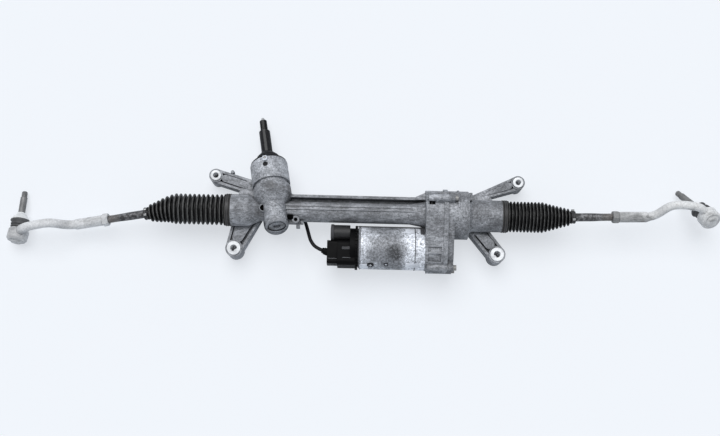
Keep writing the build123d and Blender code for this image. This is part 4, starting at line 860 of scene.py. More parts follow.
# ---------------------------------------------------------------- stage
class GEAR_OT_stage(Operator):
    """Lay the floor, the lights and the camera"""
    bl_idname = "steering_gear.stage"
    bl_label = "Floor, lights and camera"

    floor_radius = 9
    floor_centre = (0, 0.07, -0.0004)  # just below the gear, so that no face lies in another
    key_spread = math.radians(50)
    key_from = Vector((-0.12, 0.42, 1))
    sky = (0.84, 0.92, 1.0, 1)
    aim = Vector((-0.012, 0.0634, 0.064))
    lens = 50

    def execute(self, context):
        settings = context.scene.gear_stage
        self.lay_floor(settings)
        self.fill_world(context, settings)
        self.add_key(settings)
        self.point_camera(context, settings)
        context.scene.view_settings.view_transform = "Standard"
        return {"FINISHED"}

    def lay_floor(self, settings):
        clear_selection()
        bpy.ops.mesh.primitive_circle_add(
            vertices=128, radius=self.floor_radius, fill_type="NGON", location=self.floor_centre
        )
        floor = bpy.context.object
        floor.name = "floor"
        paper = bpy.data.materials.new("floor_paper")
        paper.use_nodes = True
        tree = paper.node_tree
        shader = tree.nodes["Principled BSDF"]
        shader.inputs["Base Color"].default_value = (*settings.floor, 1)
        shader.inputs["Roughness"].default_value = 0.9
        shader.inputs["Specular IOR Level"].default_value = 0.1
        glow = tree.nodes.new("ShaderNodeEmission")
        glow.inputs["Color"].default_value = (*settings.floor, 1)
        rays = tree.nodes.new("ShaderNodeLightPath")
        share = tree.nodes.new("ShaderNodeMath")
        share.operation = "MULTIPLY"
        share.inputs[1].default_value = settings.floor_glow
        tree.links.new(rays.outputs["Is Camera Ray"], share.inputs[0])
        self.blend(tree, share.outputs[0], shader, glow, "Material Output")
        floor.data.materials.append(paper)

    def fill_world(self, context, settings):
        """Light all round, and the floor's own colour where the camera, gloss or glass sees it."""
        world = bpy.data.worlds.new("studio")
        context.scene.world = world
        world.use_nodes = True
        tree = world.node_tree
        fill = tree.nodes["Background"]
        fill.inputs["Color"].default_value = self.sky
        fill.inputs["Strength"].default_value = settings.fill_strength
        seen = tree.nodes.new("ShaderNodeBackground")
        seen.inputs["Color"].default_value = (*settings.floor, 1)
        rays = tree.nodes.new("ShaderNodeLightPath")
        either = rays.outputs["Is Camera Ray"]
        for ray in ("Is Glossy Ray", "Is Transmission Ray"):
            larger = tree.nodes.new("ShaderNodeMath")
            larger.operation = "MAXIMUM"
            tree.links.new(either, larger.inputs[0])
            tree.links.new(rays.outputs[ray], larger.inputs[1])
            either = larger.outputs[0]
        self.blend(tree, either, fill, seen, "World Output")

    def blend(self, tree, share, first, second, output):
        """Send two shaders, mixed by a share, to a tree's output."""
        mix = tree.nodes.new("ShaderNodeMixShader")
        tree.links.new(share, mix.inputs["Fac"])
        tree.links.new(first.outputs[0], mix.inputs[1])
        tree.links.new(second.outputs[0], mix.inputs[2])
        tree.links.new(mix.outputs[0], tree.nodes[output].inputs["Surface"])

    def add_key(self, settings):
        clear_selection()
        bpy.ops.object.light_add(type="SUN", location=(0.3, 1.2, 2.5))
        key = bpy.context.object
        key.name = "key_light"
        key.data.energy = settings.key_strength
        key.data.angle = self.key_spread
        key.rotation_euler = self.key_from.to_track_quat("Z", "Y").to_euler()

    def point_camera(self, context, settings):
        elevation, roll = settings.height_angle, settings.roll
        ahead = Vector((0, math.cos(elevation), -math.sin(elevation)))
        right = Vector((1, 0, 0))
        up = right.cross(ahead)
        turned_right = right * math.cos(roll) + up * math.sin(roll)
        turned_up = up * math.cos(roll) - right * math.sin(roll)
        clear_selection()
        bpy.ops.object.camera_add()
        camera = bpy.context.object
        camera.name = "camera"
        axes = Matrix((turned_right, turned_up, -ahead)).transposed().to_4x4()
        camera.matrix_world = Matrix.Translation(self.aim - ahead * settings.distance) @ axes
        camera.data.lens = self.lens
        camera.data.clip_start = 0.01
        context.scene.camera = camera


# ---------------------------------------------------------------- cable
class GEAR_OT_cable(Operator):
    """Run the sensor cable from the tower to the control unit"""
    bl_idname = "steering_gear.cable"
    bl_label = "Sensor cable"

    length = 0.1765
    # the route's points from the rack's axis, in millimetres
    route = (
        (-170.9, 58.8, -38.2), (-164, 55.8, -50), (-152, 44, -54), (-139, 26, -52), (-128, 4, -46),
        (-119, -17, -37), (-113, -37, -27), (-108, -54, -21), (-97, -68, -16), (-84, -73, -13),
    )

    def execute(self, context):
        settings = context.scene.gear_cable
        curve = bpy.data.curves.new("sensor_lead", "CURVE")
        curve.dimensions = "3D"
        curve.bevel_depth = settings.diameter / 2
        curve.bevel_resolution = 6
        curve.resolution_u = 24
        curve.use_fill_caps = True
        line = curve.splines.new("NURBS")
        line.points.add(len(self.route) - 1)
        for point, (x, y, z) in zip(line.points, self.route):
            point.co = (*at_rack(x, y, z), 1)
        line.order_u = 3
        line.use_endpoint_u = True
        lead = bpy.data.objects.new("sensor_lead", curve)
        context.scene.collection.objects.link(lead)
        curve.materials.append(dull_rubber("cable_sheath", settings.colour, amount=0.12))
        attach(lead, "housing")
        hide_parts("sensor_cable")
        return {"FINISHED"}


# ---------------------------------------------------------------- finishes of the frame
class GEAR_OT_finishes(Operator):
    """Give every piece of the frame its own finish"""
    bl_idname = "steering_gear.finishes"
    bl_label = "Frame finishes"

    # dark stains on the main casting: centre from the rack's axis, radius, strength
    stains = (
        ((-186, 42, 36), 12, 0.45), ((-168, 38, 30), 10, 0.6), ((-152, 36, 18), 12, 0.6),
        ((-206, -12, 24), 9, 0.5), ((-140, 12, 12), 16, 0.35), ((-60, 16, 10), 26, 0.25),
        ((20, 18, 8), 30, 0.25), ((-188, -38, 26), 8, 0.6), ((-161, -34, 34), 6, 0.5),
    )

    # where the rod ends are scraped and dulled, given in the same way
    left_scuffs = (((-690, -32, -30), 22, 0.55), ((-545, -18, -4), 20, 0.45), ((-690, -62, -40), 18, 0.5))
    right_scuffs = (
        ((505, 3, 10), 14, 0.5), ((528, -2, 12), 14, 0.9), ((548, -2, 12), 12, 0.9),
        ((592, 8, 14), 8, 0.7), ((628, 20, 14), 12, 0.6), ((668, 5, 20), 10, 0.6),
    )

    def execute(self, context):
        settings = context.scene.gear_finish
        rubber = context.scene.gear_rubber
        tables = (
            self.castings(settings), self.plain_metals(settings), self.rod_finishes(settings),
            self.plastics(settings), self.rubbers(rubber),
        )
        for table in tables:
            for finish, nodes in table.items():
                for node in nodes:
                    data = frame["nodes"][node].data
                    data.materials.clear()
                    data.materials.append(finish)
        self.small_finishes(settings)
        return {"FINISHED"}

    def castings(self, settings):
        cast = settings.casting
        return {
            cast_alloy("housing_casting", cast, streak=(0.45, 1, 1), stains=self.stains): (
                "rack_housing", "pinion_plug",
            ),
            cast_alloy("cover_casting", shade(cast, 0.86), seed=5): ("gear_housing",),
            cast_alloy("tower_casting", shade(cast, 1.45), seed=9, corner_dirt_and_shade_depth=0.35): ("sensor_housing",),
            weathered_can("plated_can", settings.can): ("motor_case",),
        }

    def plain_metals(self, settings):
        return {
            bare_metal("screw_zinc", (0.27, 0.265, 0.255), 0.4, 0.5): ("housing_screws", "yoke_plug"),
            bare_metal("bush_zinc", settings.bush, 0.5, 0.1, 0.1): ("front_bushes", "rear_bushes"),
            bare_metal("turned_steel", (0.42, 0.42, 0.43)): (
                "pinion_bearings", "nut_bearing", "motor_bearings", "ball_nut", "torsion_bar", "pinion",
                "rotor", "rack_bar",
            ),
            bare_metal("clamp_steel", (0.030, 0.030, 0.032), 0.4, 0.4): (
                "large_clamps", "left_small_clamp", "right_small_clamp",
            ),
            bare_metal("ear_steel", (0.34, 0.34, 0.34), 0.3): ("yoke_spring",),
            bare_metal("pulley_alloy", (0.34, 0.34, 0.35), 0.4): ("nut_pulley", "motor_pulley", "yoke"),
            bare_metal("stud_steel", (0.19, 0.19, 0.19), 0.42, 0.3): ("left_stud", "right_stud"),
            stacked_sheet("laminations", (0.26, 0.26, 0.27)): ("stator",),
        }

    def rod_finishes(self, settings):
        worn = settings.worn_forging
        return {
            # its second colour is the grey of the shaft's painted highlight stripe and of its worn specks
            blackened_shaft("blackened_shaft", (0.006, 0.006, 0.007), (0.075, 0.074, 0.073)): (
                "input_shaft",
            ),
            phosphated_rod("rod_steel", settings.rod): (
                "left_tie_rod", "right_tie_rod", "left_joint_socket", "right_joint_socket",
            ),
            forged_skin("left_forging", settings.forging, self.left_scuffs): (
                "left_rod_end", "left_end_cap", "left_lock_nut",
            ),
            forged_skin("right_forging", worn, self.right_scuffs): ("right_rod_end", "right_end_cap"),
            forged_skin("worn_nut", shade(worn, 0.55)): ("right_lock_nut",),
        }

    def plastics(self, settings):
        return {
            moulded_plastic("black_plastic", settings.plastic): (
                "ecu_housing", "power_connector", "torque_sensor", "cable_gland",
            ),
            moulded_plastic("grey_moulding", (0.016, 0.016, 0.017), 0.40, 0.25): ("signal_connector",),
            moulded_plastic("pale_plastic", (0.62, 0.60, 0.52)): (
                "rack_bush", "left_rear_race", "right_rear_race", "left_front_race", "right_front_race",
                "left_stud_seat", "right_stud_seat",
            ),
        }

    def rubbers(self, rubber):
        return {
            dull_rubber("cap_rubber", (0.008, 0.008, 0.009), amount=0.12): (
                "dust_cap", "cable_grommet", "motor_plug",
            ),
            dull_rubber("belt_rubber", (0.02, 0.02, 0.02)): ("belt",),
            dull_rubber("sheath_rubber", (0.010, 0.010, 0.012)): ("sensor_cable",),
            folded_rubber("bellows_rubber", rubber.colour, rubber.crest_highlight_colour): (
                "left_bellows", "right_bellows", "left_stud_boot", "right_stud_boot",
            ),
        }

    def small_finishes(self, settings):
        """Finishes that only the small fittings wear."""
        bare_metal("worn_band", (0.085, 0.080, 0.075), 0.4, 0.3)
        bare_metal("thread_steel", (0.36, 0.36, 0.36), 0.45, 0.3)
        bare_metal("bright_zinc", shade(settings.can, 1.9), 0.45, 0.1, 0.3)
        # a grey copy of the black plastic, painted as highlights on the control unit's pad and ribs
        moulded_plastic("highlight_grey_plastic", (0.070, 0.070, 0.074))
        # near black: for black seams, rings and the clip, and for discs painted as the shade inside holes
        moulded_plastic("black_and_painted_shade", (0.003, 0.003, 0.003), 0.8, 0.0)


# ---------------------------------------------------------------- bellows
def fold_profile(start, end, count, crest_start, crest_end, depth):
    """Rounded folds from valley to valley, as (along, radius) points."""
    points = []
    step = (end - start) / count
    for i in range(count):
        crest = crest_start + (crest_end - crest_start) * i / count
        low = start + step * i
        points += [
            (low, crest - depth), (low + step * 0.12, crest - depth), (low + step * 0.36, crest - 0.0008),
            (low + step * 0.44, crest), (low + step * 0.56, crest), (low + step * 0.64, crest - 0.0008),
            (low + step * 0.88, crest - depth),
        ]
    return points


class GEAR_OT_bellows(Operator):
    """Model the two rubber bellows over the inner joints"""
    bl_idname = "steering_gear.bellows"
    bl_label = "Bellows"

    housing_end = 0.263
    cuff_length = 0.014
    cuff_radius = 0.030
    joined = 0.0146  # where the knuckle piece ends and the tail piece starts
    followed = 0.034  # a place along the tail from the inner ball
    straight = 0.045  # past this the tail runs in line with the rod
    mouth_start = 0.059
    mouth_end = 0.068
    mouth_radius = 0.0112
    ridges = (0.0008, 0.0042, 0.0076, 0.0110)  # where the cuff's ridges start, from its end
    # one ridge: along from its start, out from the cuff's radius
    ridge = ((0, -0.0002), (0.0006, 0.0008), (0.0018, 0.0008), (0.0024, -0.0002), (0.0027, -0.0014))

    def execute(self, context):
        settings = context.scene.gear_rubber
        rubber = bpy.data.materials["bellows_rubber"]
        for side, sign in (("left", -1), ("right", 1)):
            main = self.main_folds(settings, side, sign)
            knuckle, tail = self.tail_folds(settings, side, sign)
            for piece in (main, knuckle, tail):
                piece.data.materials.append(rubber)
            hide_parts(f"{side}_bellows")
            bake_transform(main)
            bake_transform(knuckle)
            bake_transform(tail)
        return {"FINISHED"}

    def near_folds(self, settings, side):
        return settings.left_folds if side == "left" else settings.right_folds

    def main_folds(self, settings, side, sign):
        ball = ball_place(f"{side}_rod_roll")
        run = abs(ball.x) - self.housing_end
        depth = settings.crest - settings.valley
        cuff = self.cuff_radius
        profile = [(-run + 0.0005, cuff - 0.0016)]
        for start in self.ridges:
            profile += [(-run + start + along, cuff + out) for along, out in self.ridge]
        profile += [(-run + 0.0142, cuff - 0.0016), (-run + 0.0148, settings.valley)]
        count = self.near_folds(settings, side)
        profile += fold_profile(-run + 0.0152, 0, count, settings.crest, settings.crest, depth)
        profile.append((0.0006, settings.valley))
        piece = draw_tube(f"{side}_bellows_folds", profile)
        give_wall(piece, settings.wall, 60)
        settle(piece, Matrix.Translation(ball) @ Matrix.Rotation(0 if sign > 0 else math.pi, 4, "Z"))
        return piece

    def tail_folds(self, settings, side, sign):
        """The folds beyond the inner ball, in two pieces: the knuckle, then the tail."""
        depth = settings.crest - settings.valley
        end_crest = self.mouth_radius + 0.004
        profile = fold_profile(
            0, self.mouth_start - 0.001, settings.all_folds - self.near_folds(settings, side),
            settings.crest, end_crest, depth,
        )
        mouth = self.mouth_radius
        profile += [
            (self.mouth_start, mouth + 0.001), (self.mouth_start + 0.0006, mouth),
            (self.mouth_end - 0.0012, mouth), (self.mouth_end - 0.0008, mouth + 0.0008),
            (self.mouth_end, mouth + 0.0006),
        ]
        near = [point for point in profile if point[0] <= self.joined]
        far = [point for point in profile if point[0] >= near[-1][0]]
        pieces = []
        for name, points in (("knuckle", near), ("tail", far)):
            piece = draw_tube(f"{side}_bellows_{name}", points)
            give_wall(piece, settings.wall, 60)
            self.lay_along_rod(piece, side, sign)
            pieces.append(piece)
        return pieces

    def lay_along_rod(self, piece, side, sign):
        """Bend a straight tail little by little, from the rack's line to the rod's."""
        place = rod_place(side)
        ball = place.translation
        level = Matrix.Rotation(0 if sign > 0 else math.pi, 3, "Z")
        turn = Vector((sign, 0, 0)).rotation_difference(place.col[0].xyz)
        for vertex in piece.data.vertices:
            bend = Quaternion().slerp(turn, eased(vertex.co.x / self.straight))
            vertex.co = ball + bend @ (level @ vertex.co)
        piece.data.update()


# ---------------------------------------------------------------- stud boots
class GEAR_OT_stud_boots(Operator):
    """Model the ringed boots and their pale collars on the ball studs"""
    bl_idname = "steering_gear.stud_boots"
    bl_label = "Stud boots"

    slimmer = {"left": 0.0004, "right": 0.0022}
    foot = 0.0096  # from the outer ball, along the stud
    joined = 0.0150  # where the foot ring's piece ends and the ringed piece starts
    waist = 0.0275  # where the rings end and the collar starts
    neck = 0.0430
    collar_wall = 0.0012
    rings = (0.0010, 0.0062)  # where the two rings start, from the foot
    # along from a ring's start, and in from the boot's radius
    ring = ((0, 0.0006), (0.0012, 0), (0.0026, 0), (0.0038, 0.0010), (0.0044, 0.0030))
    # along back from the waist, and out from the boot's radius
    shoulder = (
        (0.0066, -0.0028), (0.0044, -0.0014), (0.0026, 0), (0.0018, 0.0004), (0.0006, 0.0002),
        (0, -0.0010),
    )

    def execute(self, context):
        settings = context.scene.gear_boot
        rubber = dull_rubber("boot_rubber", settings.colour, (0.30, 0.30, 0.29), 0.30, (0.5, 0.7))
        moulded_plastic("collar_plastic", settings.collar, 0.5, 0.4)
        for side in ("left", "right"):
            head, stud = head_place(side), stud_place(side)
            wide = settings.width - self.slimmer[side]
            lower, upper = self.ringed_boot(settings, side, wide, head, stud)
            for piece in (lower, upper):
                piece.data.materials.append(rubber)
            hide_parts(f"{side}_stud_boot")
            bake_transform(lower)
            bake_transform(upper)
            self.pale_collar(settings, side, wide, stud)
        return {"FINISHED"}

    def lean(self, place):
        """The share of the way from the head's own line to the stud's."""
        return eased((place - self.foot) / (self.waist - self.foot))

    def ringed_boot(self, settings, side, wide, head, stud):
        """The first ring, then the rings above it, each leaning from the head's line over to the stud's.
        """
        foot = self.foot
        lower, upper = [
            [(foot + start + along, wide - inset) for along, inset in self.ring] for start in self.rings
        ]
        lower = [(foot, wide - 0.0030), (foot + 0.0006, wide - 0.0012)] + lower
        upper = [(self.joined, wide - 0.0030)] + upper
        upper += [(self.waist - back, wide + out) for back, out in self.shoulder]
        pieces = draw_tube(f"{side}_boot_foot", lower), draw_tube(f"{side}_boot_rings", upper)
        for piece in pieces:
            give_wall(piece, settings.wall)
            for vertex in piece.data.vertices:
                vertex.co = (head @ vertex.co).lerp(stud @ vertex.co, self.lean(vertex.co.x))
            piece.data.update()
        return pieces

    def pale_collar(self, settings, side, wide, stud):
        slim = settings.neck_radius
        waist, neck = self.waist, self.neck
        profile = [
            (waist - 0.0002, wide - 0.0016), (waist + 0.0002, wide - 0.0004),
            (waist + 0.0012, wide - 0.0006), (waist + 0.0052, wide - 0.0036),
            (waist + 0.0100, slim + 0.0042), (neck - 0.0022, slim + 0.0014),
            (neck - 0.0008, slim + 0.0010), (neck, slim + 0.0002),
        ]
        collar = draw_tube(f"{side}_boot_collar", profile)
        give_wall(collar, self.collar_wall)
        fit(collar, "collar_plastic", f"{side}_boot", stud)


# ---------------------------------------------------------------- clamps
class GEAR_OT_clamps(Operator):
    """Model the small clamps at the mouths of the bellows and the beads on the large ones"""
    bl_idname = "steering_gear.clamps"
    bl_label = "Clamps"

    # the small band, along the rod from the inner ball
    start, end = 0.0600, 0.0670
    inner = 0.0113
    thick = 0.0012
    ears = {"left": (25, -18), "right": (25, -75)}  # turns from straight up, about the rod
    ear_size = (0.0060, 0.0046, 0.0038)
    hollow = 0.0006  # depth and rim of the hollows in an ear's sides
    # the beads of the large bands: places from the rack's middle, then half the width of a bead,
    # its inner and outer radius and its edge
    beads = (0.2642, 0.2682, 0.2720)
    half, bead_inner, bead_outer, bead_edge = 0.0007, 0.0295, 0.0320, 0.0005

    def execute(self, context):
        for side, sign in (("left", -1), ("right", 1)):
            self.small_band(side)
            self.large_beads(side, sign)
        return {"FINISHED"}

    def small_band(self, side):
        """The band at the mouth of a bellows, with its two ears."""
        start, end, inner = self.start, self.end, self.inner
        outer = inner + self.thick
        profile = [
            (start, inner), (start, outer - 0.0003), (start + 0.0004, outer), (start + 0.0012, outer),
            (start + 0.0018, outer - 0.0005), (end - 0.0018, outer - 0.0005), (end - 0.0012, outer),
            (end - 0.0004, outer), (end, outer - 0.0003), (end, inner), (start, inner),
        ]
        band = draw_tube(f"{side}_clamp_band", profile)
        outward(band)
        smooth(band, 40)
        fit(band, "clamp_steel", f"{side}_lift", rod_place(side))
        for index, turn in enumerate(self.ears[side]):
            centre = ((start + end) / 2, 0, outer + 0.0014)
            ear = draw_block(f"{side}_clamp_ear_{index}", centre, self.ear_size, 0.0009)
            select_faces(ear, lambda centre, normal: abs(normal.y) > 0.9)
            bpy.ops.mesh.inset(thickness=self.hollow, depth=-self.hollow)
            bpy.ops.object.mode_set(mode="OBJECT")
            place = rod_place(side) @ Matrix.Rotation(math.radians(turn), 4, "X")
            fit(ear, "ear_steel", f"{side}_lift", place)
        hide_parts(f"{side}_small_clamp")

    def large_beads(self, side, sign):
        """The beads round the band that holds a bellows on the housing."""
        for index, middle in enumerate(self.beads):
            bead = draw_collar(
                f"{side}_bead_{index}", -self.half, self.half, self.bead_inner, self.bead_outer,
                self.bead_edge, 96,
            )
            place = Matrix.Translation((sign * middle, RACK_Y, RACK_Z))
            fit(bead, "worn_band", place=place)


# ---------------------------------------------------------------- cast webs
class GEAR_OT_webs(Operator):
    """Lay the webs between the rims of the four mounting arms"""
    bl_idname = "steering_gear.webs"
    bl_label = "Webs of the arms"

    foot = -22
    # for each arm: its finish, and its discs: x, y, radius and top, from the rack's axis
    webs = {
        "left_front": ("housing_casting", (
            (-243, -5, 8.5, -13.7), (-221, -5, 8.5, -13.7), (-249.6, -50.5, 10.6, -10.9),
        )),
        "left_rear": ("housing_casting", ((-228, 50, 7.5, -13.7), (-279.3, 65.3, 7.2, -11.0))),
        "right_front": ("cover_casting", (
            (213, -25, 5.0, -13.7), (227, -24, 2.5, -13.7), (242.6, -53.8, 9.6, -10.9),
        )),
        "right_rear": ("cover_casting", ((231, 45, 2.2, -13.7), (279.8, 63.8, 6.9, -11.0))),
    }

    def execute(self, context):
        for name, (finish, discs) in self.webs.items():
            fit(draw_web(f"{name}_web", discs, self.foot), finish)
        return {"FINISHED"}


# ---------------------------------------------------------------- tower and housing fittings
class GEAR_OT_housing_fittings(Operator):
    """Model the small cast and fixed things on the housing and the sensor tower"""
    bl_idname = "steering_gear.housing_fittings"
    bl_label = "Housing fittings"

    # outline of the dust cap: along the column from the pinion's middle, and radius
    cap = (
        (0.0952, 0.0300), (0.0952, 0.0350), (0.0956, 0.0355), (0.0976, 0.0355), (0.0981, 0.0350),
        (0.0985, 0.0296), (0.1000, 0.0288), (0.1030, 0.0282), (0.1042, 0.0262), (0.1056, 0.0264),
        (0.1074, 0.0256), (0.1086, 0.0236), (0.1100, 0.0238), (0.1130, 0.0222), (0.1170, 0.0186),
        (0.1200, 0.0156), (0.1218, 0.0142), (0.1226, 0.0138),
    )
    cap_wall = 0.0016
    # x and y from the rack's axis, in millimetres
    window_place = (-199, 1.5)
    bore_place = (-136, -19)
    mark_place = (235, 3)
    pip_place = (-266, 78.5)

    def execute(self, context):
        self.tower()
        self.dust_cap()
        self.window()
        self.lug()
        self.marks()
        return {"FINISHED"}

    def tower(self):
        """The screwed lug on the tower's upper side, and below it a black rubber disc painted as the shade
        of its pocket.
        """
        column = column_place()
        lug = draw_block("tower_lug", (0.0880, 0.0038, 0.0380), (0.011, 0.0086, 0.007), 0.0018, 3)
        fit(lug, "bright_zinc", place=column)
        head = draw_disc("tower_screw", 0.0395, 0.0420, 0.0031, 0.0006, 24)
        on_lug = column @ Matrix.Translation((0.0885, 0.0038, 0)) @ UPRIGHT
        fit(head, "screw_zinc", place=on_lug)
        # painted shade: a black disc stands for the dark pocket below the lug
        plug = draw_disc("tower_pocket_shade", 0.0345, 0.0376, 0.0050, 0.0008, 32)
        below_lug = column @ Matrix.Translation((0.0765, 0.0042, 0)) @ UPRIGHT
        fit(plug, "cap_rubber", place=below_lug)

    def dust_cap(self):
        """The rubber cap on the tower's mouth, in place of its solid, and the plug's seam below."""
        cap = draw_tube("dust_cap_skirt", self.cap, 96)
        give_wall(cap, self.cap_wall)
        fit(cap, "cap_rubber", place=column_place())
        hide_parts("dust_cap")
        seam = draw_collar("plug_seam", -0.0455, -0.0448, 0.0162, 0.0174, 0.0002)
        fit(seam, "black_and_painted_shade", place=column_place())

    def above(self, x, y):
        """X straight up from a point level with the rack's axis."""
        return Matrix.Translation(at_rack(x, y, 0)) @ UPRIGHT

    def window(self):
        """The collared hole between the left housing and the pinion barrel, with a black disc inside as
        its painted shade.
        """
        x, y = self.window_place
        top = skin_height("rack_housing", x, y) + 1.0
        place = self.above(x, y)
        low = (top - 9) * MM
        collar = draw_collar("window_collar", low, (top + 2.4) * MM, 0.0062, 0.0088, 0.0014, 40)
        fit(collar, "housing_casting", place=place)
        # painted shade: a near-black disc inside the collar stands for the hole's darkness
        floor = draw_disc("window_painted_shade", low, (top + 0.8) * MM, 0.0064, 0.0004, 40)
        fit(floor, "black_and_painted_shade", place=place)

    def lug(self):
        """The clip beside the harness lug, a black disc in the lug's bore as its painted shade, and its
        foot.
        """
        clip = draw_block("harness_clip", at_rack(-146.5, -14, 19), (0.011, 0.009, 0.010), 0.0016, 3)
        fit(clip, "black_and_painted_shade")
        # painted shade: a near-black disc in the bore stands for its darkness
        bore = draw_disc("harness_bore_painted_shade", 0.0150, 0.0213, 0.0036, 0.0004, 32)
        fit(bore, "black_and_painted_shade", place=self.above(*self.bore_place))
        foot = draw_block("harness_foot", at_rack(-124.5, -23, 8), (0.006, 0.008, 0.006), 0.0012)
        fit(foot, "housing_casting")

    def marks(self):
        """The ejector mark on the right housing and the pip on the left rear arm."""
        x, y = self.mark_place
        top = skin_height("gear_housing", x, y)
        low, high = (top - 1.5) * MM, (top + 0.4) * MM
        mark = draw_collar("ejector_mark", low, high, 0.0034, 0.0046, 0.0005, 40)
        fit(mark, "cover_casting", place=self.above(x, y))
        pip = draw_disc("arm_pip", -0.026, -0.0105, 0.0036, 0.0012, 24)
        fit(pip, "housing_casting", place=self.above(*self.pip_place))


# ---------------------------------------------------------------- motor fittings
class GEAR_OT_motor_fittings(Operator):
    """Model the seals, pads, a black strip along the rear flank, and the bright cross painted as the
    plug's glint, on the motor can
    """
    bl_idname = "steering_gear.motor_fittings"
    bl_label = "Motor fittings"

    radius = 0.041
    # pads: name, start and end along the motor, turns from the top towards the rear
    pads = (
        ("rear_pad", (0.076, 0.094), (58, 40)), ("rear_tab", (-0.008, 0.001), (60, 46)),
        ("front_pad", (0.077, 0.104), (-50, -66)), ("front_tab", (-0.0105, 0.0055), (-56, -76)),
    )
    # seals: name, start and end along the motor
    seals = (("cover_seal", 0.0946, 0.0956), ("unit_seal", -0.0106, -0.0096))
    # the raised cross on the plug, painted bright as the plug's glint: name and size of each bar
    glint_bars = (("long", (0.0010, 0.0062, 0.0011)), ("short", (0.0010, 0.0011, 0.0062)))
    vent_place = (0.040, -56)  # along the motor, and turn from the top towards the rear

    def execute(self, context):
        motor = Matrix.Translation(ball_place("motor_turn"))
        motor.translation.x = 0
        radius = self.radius
        for name, span, turns in self.pads:
            pad = draw_patch(f"motor_{name}", span, radius + 0.0004, turns, 0.0014)
            fit(pad, "bright_zinc", place=motor)
        for name, start, end in self.seals:
            seal = draw_collar(f"motor_{name}", start, end, 0.0395, radius + 0.0009, 0.0003, 96)
            fit(seal, "black_plastic", place=motor)
        # a thin black strip along the can's rear flank, and its bent end
        rail = draw_patch("motor_rail", (-0.0145, 0.107), radius + 0.0006, (79, 73), 0.0026)
        corner = draw_patch("motor_rail_end", (0.1055, 0.1128), radius + 0.0007, (80, 36), 0.0030, 20)
        for piece in (rail, corner):
            fit(piece, "black_plastic", place=motor)
        self.plug_glint_cross(motor)
        self.vent(motor)
        return {"FINISHED"}

    def on_can(self, motor, x, turn):
        """X straight out of the can, at a place along it and a turn towards the rear."""
        spin = Matrix.Rotation(math.radians(-turn), 4, "X")
        return motor @ Matrix.Translation((x, 0, 0)) @ spin @ UPRIGHT

    def plug_glint_cross(self, motor):
        low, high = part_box("motor_plug")
        middle = (Vector(low) + Vector(high)) / 2
        out = middle - motor.translation
        place = self.on_can(motor, middle.x, math.degrees(math.atan2(out.y, out.z)))
        for name, size in self.glint_bars:
            # painted highlight: the bars are bright zinc, standing for the glint on the plug
            bar = draw_block(f"plug_{name}_bar", (self.radius + 0.0016, 0, 0), size, 0.0003)
            fit(bar, "bright_zinc", place=place)

    def vent(self, motor):
        """The dark ring with a bright core on the can's front side."""
        place = self.on_can(motor, *self.vent_place)
        low = self.radius - 0.002
        ring = draw_collar("motor_vent", low, self.radius + 0.0008, 0.0026, 0.0042, 0.0005, 40)
        fit(ring, "black_and_painted_shade", place=place)
        core = draw_disc("motor_vent_core", low, self.radius + 0.0003, 0.0027, 0.0004, 32)
        fit(core, "bright_zinc", place=place)


# ---------------------------------------------------------------- control unit fittings
class GEAR_OT_unit_fittings(Operator):
    """Model the pad, the ribs and the socket rims of the control unit"""
    bl_idname = "steering_gear.unit_fittings"
    bl_label = "Control unit fittings"

    # name, centre from the rack's axis and size, in millimetres, and the finish
    blocks = (
        # painted highlight: the grey pad and ribs stand for highlight lines on the black cover
        ("cover_pad", (-36.5, -72.5, 22.4), (17, 5.2, 2.4), "highlight_grey_plastic"),
        ("cover_rib", (-36.5, -91, 22.3), (16, 1.4, 1.8), "highlight_grey_plastic"),
        ("cover_ledge", (-26, -66, 22.3), (1.4, 40, 1.8), "black_plastic"),
        ("power_rib", (-63.5, -92.5, 16.3), (17, 1.4, 1.8), "highlight_grey_plastic"),
    )

    def execute(self, context):
        for name, centre, size, finish in self.blocks:
            edge = min(size) * 0.3 * MM
            piece = draw_block(f"unit_{name}", at_rack(*centre), Vector(size) * MM, edge)
            fit(piece, finish)
        low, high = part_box("signal_connector")
        middle = (Vector(low) + Vector(high)) / 2
        reach = (high[2] - low[2]) / 2
        rim = draw_collar(
            "signal_rim", low[0] + 0.0004, low[0] + 0.0070, reach - 0.002, reach + 0.0012, 0.0010
        )
        socket = Matrix.Translation((0, middle.y, middle.z))
        fit(rim, "black_plastic", place=socket)
        return {"FINISHED"}


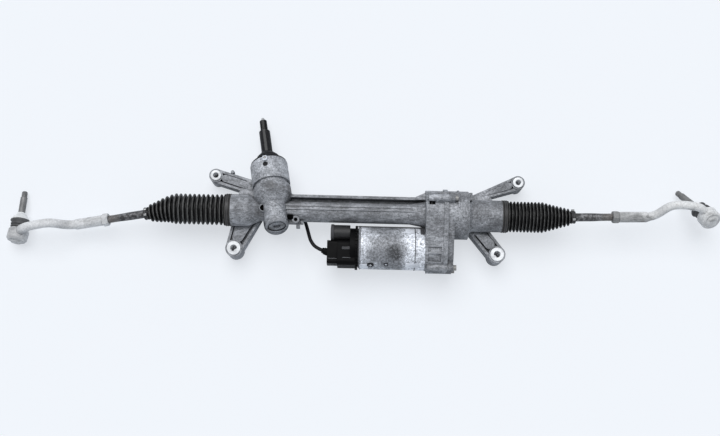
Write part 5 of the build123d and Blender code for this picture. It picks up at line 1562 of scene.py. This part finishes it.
# ---------------------------------------------------------------- threads
class GEAR_OT_threads(Operator):
    """Wind the threads on the tie rods and on the tips of the studs"""
    bl_idname = "steering_gear.threads"
    bl_label = "Threads"

    pitch = 0.0015
    # start and end along the rod or stud from its ball, then root and crest radius
    rod_thread = (0.1125, 0.1410, 0.0067, 0.00735)
    stud_thread = (0.0775, 0.0880, 0.0048, 0.0056)

    def execute(self, context):
        for side in ("left", "right"):
            rod = draw_thread(f"{side}_rod_thread", *self.rod_thread, self.pitch)
            fit(rod, "rod_steel", f"{side}_rod", rod_place(side))
            tip = draw_thread(f"{side}_stud_thread", *self.stud_thread, self.pitch)
            fit(tip, "thread_steel", f"{side}_stud", stud_place(side))
        return {"FINISHED"}


# ---------------------------------------------------------------- sidebar and running
class GEAR_PT_sidebar(Panel):
    """Lists the steps in the order in which they run"""
    bl_idname = "GEAR_PT_sidebar"
    bl_label = "Steering gear"
    bl_space_type = "VIEW_3D"
    bl_region_type = "UI"
    bl_category = "Steering gear"

    def draw(self, context):
        for group in GROUPS:
            settings = getattr(context.scene, group)
            box = self.layout.box()
            for name in settings.__annotations__:
                box.prop(settings, name)
        for step in STEPS:
            self.layout.operator(step.bl_idname)


STEPS = (
    GEAR_OT_stage, GEAR_OT_cable, GEAR_OT_finishes, GEAR_OT_bellows, GEAR_OT_stud_boots,
    GEAR_OT_clamps, GEAR_OT_webs, GEAR_OT_housing_fittings, GEAR_OT_motor_fittings,
    GEAR_OT_unit_fittings, GEAR_OT_threads,
)
GROUPS = {
    "gear_stage": StageSettings,
    "gear_cable": CableSettings,
    "gear_finish": FinishSettings,
    "gear_rubber": RubberSettings,
    "gear_boot": BootSettings,
}


def register():
    for name, group in GROUPS.items():
        bpy.utils.register_class(group)
        setattr(bpy.types.Scene, name, PointerProperty(type=group))
    for step in STEPS:
        bpy.utils.register_class(step)
    bpy.utils.register_class(GEAR_PT_sidebar)


def unregister():
    bpy.utils.unregister_class(GEAR_PT_sidebar)
    for step in reversed(STEPS):
        bpy.utils.unregister_class(step)
    for name, group in reversed(GROUPS.items()):
        delattr(bpy.types.Scene, name)
        bpy.utils.unregister_class(group)


def main():
    register()
    for step in STEPS:
        action = step.bl_idname.split(".")[1]
        getattr(bpy.ops.steering_gear, action)()
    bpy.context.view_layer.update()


if __name__ == "__main__":
    main()
